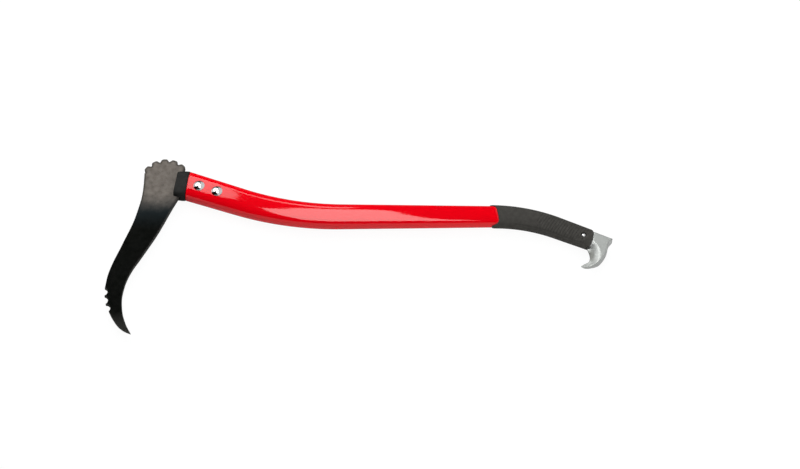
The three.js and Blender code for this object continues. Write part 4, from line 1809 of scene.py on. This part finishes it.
    def shape(self) -> bpy.types.Object:
        """A plate that thins to its tip, with hammered faces and a ground bevel on the pick's
        back.

        Returns:
            The drilled piece.
        """
        points, in_notch, on_back = self.outline()
        tip = self.pick_points(self.front)[-1]
        from_tip = np.linalg.norm(points - tip, axis=1)
        fade = np.clip(from_tip / self.tip_fade, self.tip_round, 1)
        radius = np.where(in_notch, self.notch_edge_radius, self.edge_radius * fade)
        taper_start = self.centre[1] - self.taper_start_share * self.pick_length
        taper_end = self.centre[1] - self.pick_length
        back_line = points[on_back][:: self.grind_stride]

        def half_thickness(place: Array) -> Array:
            """Taper below the crease, less the ripples and the back's bevel."""
            x, y = place[:, 0], place[:, 1]
            share = np.clip((y - taper_start) / (taper_end - taper_start), 0, 1)
            half = self.thickness / 2 * lerp(1.0, self.tip_share, share) - self.ripple(x, y)
            squared = ((place[:, None] - back_line) ** 2).sum(axis=-1).min(axis=1)
            grind = np.maximum(self.grind_width - np.sqrt(squared), 0) * self.grind_slope
            return half - grind * band(y, self.grind_start, self.grind_stop)

        mesh = Plate(points, radius, half_thickness).to_mesh(self.name, self.plan)
        piece = new_object(self.name, mesh)
        self.drill(piece, self.handle.rivets, self.handle.rivet_hole)
        return piece


@dataclass(frozen=True, kw_only=True)
class EndHook(Part):
    """The cast hook, outlined in the handle's own frame past its end: a flat triangular heel, a
    claw and a dished throat, with a neck and a spigot in the tube."""

    name: str = "cast_hook"
    node: str = "end_hook"
    slot: Slot = Slot.CAST_ALLOY
    sleeve: GripSleeve
    length: float = 29.0
    height: float = 48.0
    thickness: float = 16.0
    edge_radius: float = 1.5
    edge_share: float = 0.7
    tip_fade: float = 14.0
    tip_round: float = 0.3
    throat_edge: float = 3.0
    throat_radius: float = 17.6
    rim_radius: float = 33.5
    throat_set_back: float = 9.3
    throat_depth: float = 32.6
    rim_softness: float = 0.9
    neck_length: float = 9.0
    neck_lean: float = 9.1
    neck_inset: float = 1.0
    neck_overlap: float = 0.5
    neck_columns: int = 96
    spigot_length: float = 38.0
    spacing: float = 1.1
    step: float = 0.7
    throat_step: float = 0.56
    back_steps: int = 200
    throat_steps: int = 160
    seat_shares: Pair = (-0.32, 0.246)
    seat_rows: int = 32
    heel: Pair = (0.948, 0.236)
    back: Shares = (
        (0.925, 0.175), (0.868, 0.035), (0.9, -0.108), (0.931, -0.26), (0.91, -0.427),
        (0.846, -0.585), (0.785, -0.675), (0.657, -0.785), (0.52, -0.868), (0.355, -0.945),
        (0.176, -0.985), (0.02, -0.975),
    )
    throat: Shares = (
        (0.02, -0.975), (0.112, -0.886), (0.276, -0.752), (0.268, -0.619), (0.146, -0.485),
        (-0.085, -0.32),
    )

    def local(self, shares: Sequence[Sequence[float]]) -> Array:
        """Outline shares as distances past the handle's end and across its axis."""
        return np.array(shares) * np.array([self.length, self.height])

    def to_plan(self, points: Array) -> Array:
        """The hook's own flat coordinates as plan ones."""
        return self.handle.point(self.handle.length + points[:, 0], points[:, 1], 0.0)[:, :2]

    def outline(self) -> Array:
        """The body's outline, anticlockwise. Its side against the sleeve is the sleeve's waved
        end plus the gap."""
        handle, step = self.handle, self.step
        across = np.linspace(*self.seat_shares, self.seat_rows) * self.height
        half = handle.tail_size[0] / 2 + self.sleeve.outer + handle.gap
        shift = self.sleeve.end_shift(np.clip(across / half, -1, 1), 2 * half)
        seat = np.stack([shift + handle.gap, across], axis=-1)
        top = resample(np.vstack([seat[-1], self.local(self.heel)]), step)
        back = resample(spline(self.local(self.back), self.back_steps), step)
        throat = spline(self.local(self.throat), self.throat_steps)
        throat = resample(throat, self.throat_step)
        points = np.concatenate([seat[:-1], top, back[:-1], throat[:-1]])[::-1]
        return points[apart(points)]

    def half_thickness(self, place: Array) -> Array:
        """The smaller of the flat's half thickness and the dish's, which rises smoothly from the
        throat's edge at one radius to the flat at another. The corner between is softened.

        Args:
            place: Points in the hook's own flat coordinates.

        Returns:
            Half of the thickness at each.
        """
        centre = np.array([-self.throat_set_back, -self.throat_depth])
        reach = np.linalg.norm(place - centre, axis=1)
        flat, edge = self.thickness / 2, self.throat_edge / 2
        dish = lerp(edge, flat, smoothstep(reach, self.throat_radius, self.rim_radius))
        soft = self.rim_softness
        nearness = np.clip(0.5 + 0.5 * (dish - flat) / soft, 0, 1)
        return lerp(dish, flat, nearness) - soft * nearness * (1 - nearness)

    def shape(self) -> bpy.types.Object:
        """The body as a plate, with its neck and spigot, which are rings of the handle's oval.

        Returns:
            The drilled piece.
        """
        handle = self.handle
        points = self.outline()
        from_tip = np.linalg.norm(points - self.local(self.throat)[0], axis=1)
        fade = np.clip(from_tip / self.tip_fade, self.tip_round, 1)
        most = self.half_thickness(points) * self.edge_share
        radius = np.minimum(self.edge_radius * fade, most)
        plate = Plate(points, radius, self.half_thickness, spacing=self.spacing)
        piece = new_object(self.name, plate.to_mesh(self.name, self.plan, self.to_plan))
        angle = full_turn(self.neck_columns)
        across, _ = oval(angle, handle.power)
        end = handle.tube_length
        neck = np.array([[end + handle.gap], [end + self.neck_length]])
        height, _ = handle.size(neck)
        slope = math.tan(math.radians(self.neck_lean)) * np.array([[1], [0]])
        leaned = neck - across * height / 2 * slope
        spigot = np.array([[end - self.spigot_length], [neck[1, 0] - self.neck_overlap]])
        for along, offset in ((leaned, -self.neck_inset), (spigot, -handle.wall - handle.gap)):
            surface = Surface()
            surface.add_loft(handle.rings(along, offset, angle))
            combine(piece, surface.to_mesh("neck", self.plan), "UNION")
        self.drill(piece, [handle.pin], handle.pin_hole)
        return piece


# Studio


def bare_material(name: str) -> tuple[bpy.types.Material, Wiring, bpy.types.Node]:
    """Start a material that has no shader yet.

    Args:
        name: Its name.

    Returns:
        The material, its wiring and its output node.
    """
    material = bpy.data.materials.new(name)
    material.use_nodes = True
    nodes = material.node_tree.nodes
    nodes.remove(nodes["Principled BSDF"])
    return material, Wiring(material.node_tree), nodes["Material Output"]


def by_ray(wiring: Wiring, seen: object, mirrored: object, plain: float) -> Socket:
    """A value that depends on the ray.

    Args:
        wiring: Where the nodes go.
        seen: The value for camera rays.
        mirrored: The value for glossy and transmission rays.
        plain: The value for the rays of scattered light.

    Returns:
        The value's socket.
    """
    path = wiring.node("ShaderNodeLightPath").outputs
    mirror = wiring.maths("MAXIMUM", path["Is Glossy Ray"], path["Is Transmission Ray"])
    either = wiring.span(mirror, 0.0, 1.0, plain, mirrored)
    return wiring.span(path["Is Camera Ray"], 0.0, 1.0, either, seen)


def level(height: float, *corners: Pair) -> tuple[Corner, ...]:
    """Corners of a level panel at a height, in metres."""
    return tuple((x, y, height) for x, y in corners)


@dataclass(frozen=True)
class Panel:
    """A flat sheet round the tool, which the camera doesn't see: a glowing one that lights the
    tool, or a dark one that shows only in its reflections."""

    name: str
    radiance: float
    corners: tuple[Corner, ...]

    def build(self) -> None:
        """Add the panel: one face inside its corners, which glows with its radiance."""
        material, wiring, output = bare_material(self.name)
        glow = wiring.node("ShaderNodeEmission", {"Strength": self.radiance})
        wiring.fill(output, {"Surface": glow.outputs[0]})
        mesh = bpy.data.meshes.new(self.name)
        mesh.from_pydata(self.corners, [], [list(range(len(self.corners)))[::-1]])
        mesh.materials.append(material)
        sheet = new_object(self.name, mesh)
        sheet.visible_camera = False
        sheet.visible_diffuse = self.radiance > 0
        sheet.visible_shadow = self.radiance > 0


@dataclass(frozen=True)
class Fill:
    """A soft square lamp that lights the tool without showing in it.

    Attributes:
        name: The lamp's name.
        place: Where it stands, in metres. It faces the middle of the tool.
        level: How strongly it lights a surface there that faces it.
        size: The length of its side, in metres.
    """

    name: str
    place: Corner
    level: float
    size: float

    def build(self) -> None:
        """Build the lamp, with the power that its level needs at its distance."""
        place = Vector(self.place)
        data = bpy.data.lights.new(self.name, "AREA")
        data.size = self.size
        data.energy = self.level * math.pi**2 * place.length_squared
        lamp = new_object(self.name, data)
        lamp.location = place
        lamp.rotation_euler = (-place).to_track_quat("-Z", "Y").to_euler()
        lamp.visible_glossy = False


@dataclass(frozen=True)
class Studio:
    """White floor, glowing panels, dark cards behind them, lamps and the photograph's camera.
    Distances are metres, lens and sensor millimetres, and the aim is a point of the plan."""

    plan: Plan
    aim: Corner = (316.3, -82.9, 0.0)
    elevation: float = 60.0
    distance: float = 3.5
    lens: float = 106.78
    sensor: float = 36.0
    floor_rings: tuple[float, ...] = (12.0, 3.0, 0.5)
    floor_columns: int = 96
    floor_glow: float = 0.95
    floor_colour: float = 0.075
    bounce_colour: float = 0.85
    mirrored_glow: float = 0.3
    mirrored_colour: float = 0.4
    beyond_table: float = 0.02
    table_edge: Pair = (0.05, 0.1)
    world_level: float = 0.07
    mirrored_world: float = 0.7
    panels: tuple[Panel, ...] = (
        Panel("overhead_panel", 5.0, level(
            1.6, (-0.27, -0.33), (0.26, -0.33), (0.2, -0.08), (0.15, 0.15), (0.1, 0.75),
            (0.05, 1.3), (0.02, 1.5), (-0.08, 1.5), (-0.17, 1.0), (-0.3, 0.62), (-0.34, 0.2),
        )),
        Panel("window_panel", 3.2, level(
            1.6, (-1.8, 0.5), (-0.53, 0.5), (-0.42, 0.62), (-0.33, 0.85), (-0.25, 1.18),
            (-0.165, 1.67), (-0.14, 1.9), (-0.04, 1.95), (-0.03, 2.9), (-2.6, 2.9),
        )),
        Panel("front_card", 0.0, level(
            4.0, (-6.0, -3.6), (0.55, -3.6), (0.55, 0.85), (-6.0, 0.85),
        )),
        Panel("top_card", 0.0, level(
            4.0, (-1.2, 0.85), (0.55, 0.85), (0.55, 4.0), (-1.2, 4.0),
        )),
        Panel("back_card", 0.0, (
            (-1.2, 4.0, 4.0), (0.55, 4.0, 4.0), (0.55, 4.0, 0.25), (-1.2, 4.0, 0.25),
        )),
        Panel("left_card", 0.0, (
            (-6.0, -6.0, 0.1), (-6.0, 1.5, 0.1), (-6.0, 1.5, 5.0), (-6.0, -6.0, 5.0),
        )),
    )
    fills: tuple[Fill, ...] = (
        Fill("back_fill", (0.8, 2.0, 1.6), 0.32, 1.2),
        Fill("front_fill", (0.6, -0.55, 0.35), 0.36, 0.4),
    )

    def build_floor(self) -> None:
        """A round white floor that keeps a soft trace of the object's shadow. In reflections it
        darkens past the table's edge."""
        material, wiring, output = bare_material("studio_floor")
        _, y, _ = wiring.parts(wiring.place())
        colour, glow = (
            wiring.span(y, *self.table_edge, near, self.beyond_table)
            for near in (self.mirrored_colour, self.mirrored_glow)
        )
        colour = by_ray(wiring, self.floor_colour, colour, self.bounce_colour)
        glow = by_ray(wiring, self.floor_glow, glow, 0.0)
        diffuse = wiring.node("ShaderNodeBsdfDiffuse", {"Color": colour})
        shine = wiring.node("ShaderNodeEmission", {"Strength": glow})
        both = wiring.node("ShaderNodeAddShader", {0: diffuse.outputs[0], 1: shine.outputs[0]})
        wiring.fill(output, {"Surface": both.outputs[0]})
        angle = full_turn(self.floor_columns)
        reach = np.array(self.floor_rings)[:, None] / MILLIMETRE
        x, y = reach * np.cos(angle), reach * np.sin(angle)
        surface = Surface()
        first = surface.add_grid(np.stack([x, y, 0 * x], axis=-1))
        inner = first + (len(reach) - 1) * len(angle)
        surface.add_cap(inner, len(angle), np.zeros(3), at_start=False)
        floor = new_object("studio_floor", surface.to_mesh("studio_floor", Plan(np.zeros(3))))
        floor.data.materials.append(material)

    def build_world(self) -> None:
        """A world that is white where it shows and dimmer where it lights."""
        world = bpy.data.worlds.new("studio_world")
        bpy.context.scene.world = world
        world.use_nodes = True
        wiring = Wiring(world.node_tree)
        strength = by_ray(wiring, 1.0, self.mirrored_world, self.world_level)
        white = (1.0, 1.0, 1.0)
        wiring.fill(world.node_tree.nodes["Background"], {"Color": white, "Strength": strength})

    def build_camera(self) -> None:
        """The photograph's camera, in front of the tool and above it."""
        data = bpy.data.cameras.new("camera")
        data.sensor_fit = "HORIZONTAL"
        data.sensor_width = self.sensor
        data.lens = self.lens
        camera = new_object("camera", data)
        rise = math.radians(self.elevation)
        back = Vector((0, -math.cos(rise), math.sin(rise)))
        target = Vector(self.plan.place(np.array(self.aim)).tolist())
        camera.location = target + back * self.distance
        camera.rotation_euler = (math.pi / 2 - rise, 0, 0)
        bpy.context.scene.camera = camera

    def build(self) -> None:
        """Set up the floor, the panels, the lamps, the world and the camera."""
        self.build_floor()
        for piece in (*self.panels, *self.fills):
            piece.build()
        self.build_world()
        self.build_camera()
        bpy.context.scene.view_settings.view_transform = "Standard"
        log.info("studio stands: %d panels, %d lamps", len(self.panels), len(self.fills))


def main() -> None:
    """Build the studio and each sub-assembly in turn."""
    logging.basicConfig(level=logging.INFO, format="%(name)s: %(message)s")
    handle = Handle()
    low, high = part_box("rivet_front")
    rivet = (np.array(low) + np.array(high)) / 2 / MILLIMETRE
    axis_x, axis_y, _ = handle.axis(handle.first_rivet)
    plan = Plan(rivet - np.array([float(axis_x), float(axis_y), 0.0]))
    log.info("the plan's origin stands at %s mm", plan.origin.round(3))
    Studio(plan).build()
    effects = Effects.build()
    steel = PolishedSteel().build(effects)
    shared = {"handle": handle, "plan": plan}
    collar = Collar(**shared)
    sleeve = GripSleeve(**shared)
    PaintedTube(**shared, sleeve=sleeve).build(RedPaint().build(effects))
    collar.build(BlackNylon().build(effects))
    ForgedHead(**shared, collar=collar).build(ForgedSteel().build(effects))
    for station, node in zip(handle.rivets, ("rivet_front", "rivet_rear")):
        DomedRivet(**shared, name=f"{node}_dome", node=node, station=station).build(steel)
    sleeve.build(GripRubber().build(effects))
    EndHook(**shared, sleeve=sleeve).build(CastAlloy().build(effects))
    DomedRivet(
        **shared, name="hook_pin_dome", node="hook_pin", station=handle.pin,
        head_radius=3.3, dome=1.6, shank_radius=2.0, edge=0.2, sunk=1.0,
    ).build(steel)


if __name__ == "__main__":
    main()
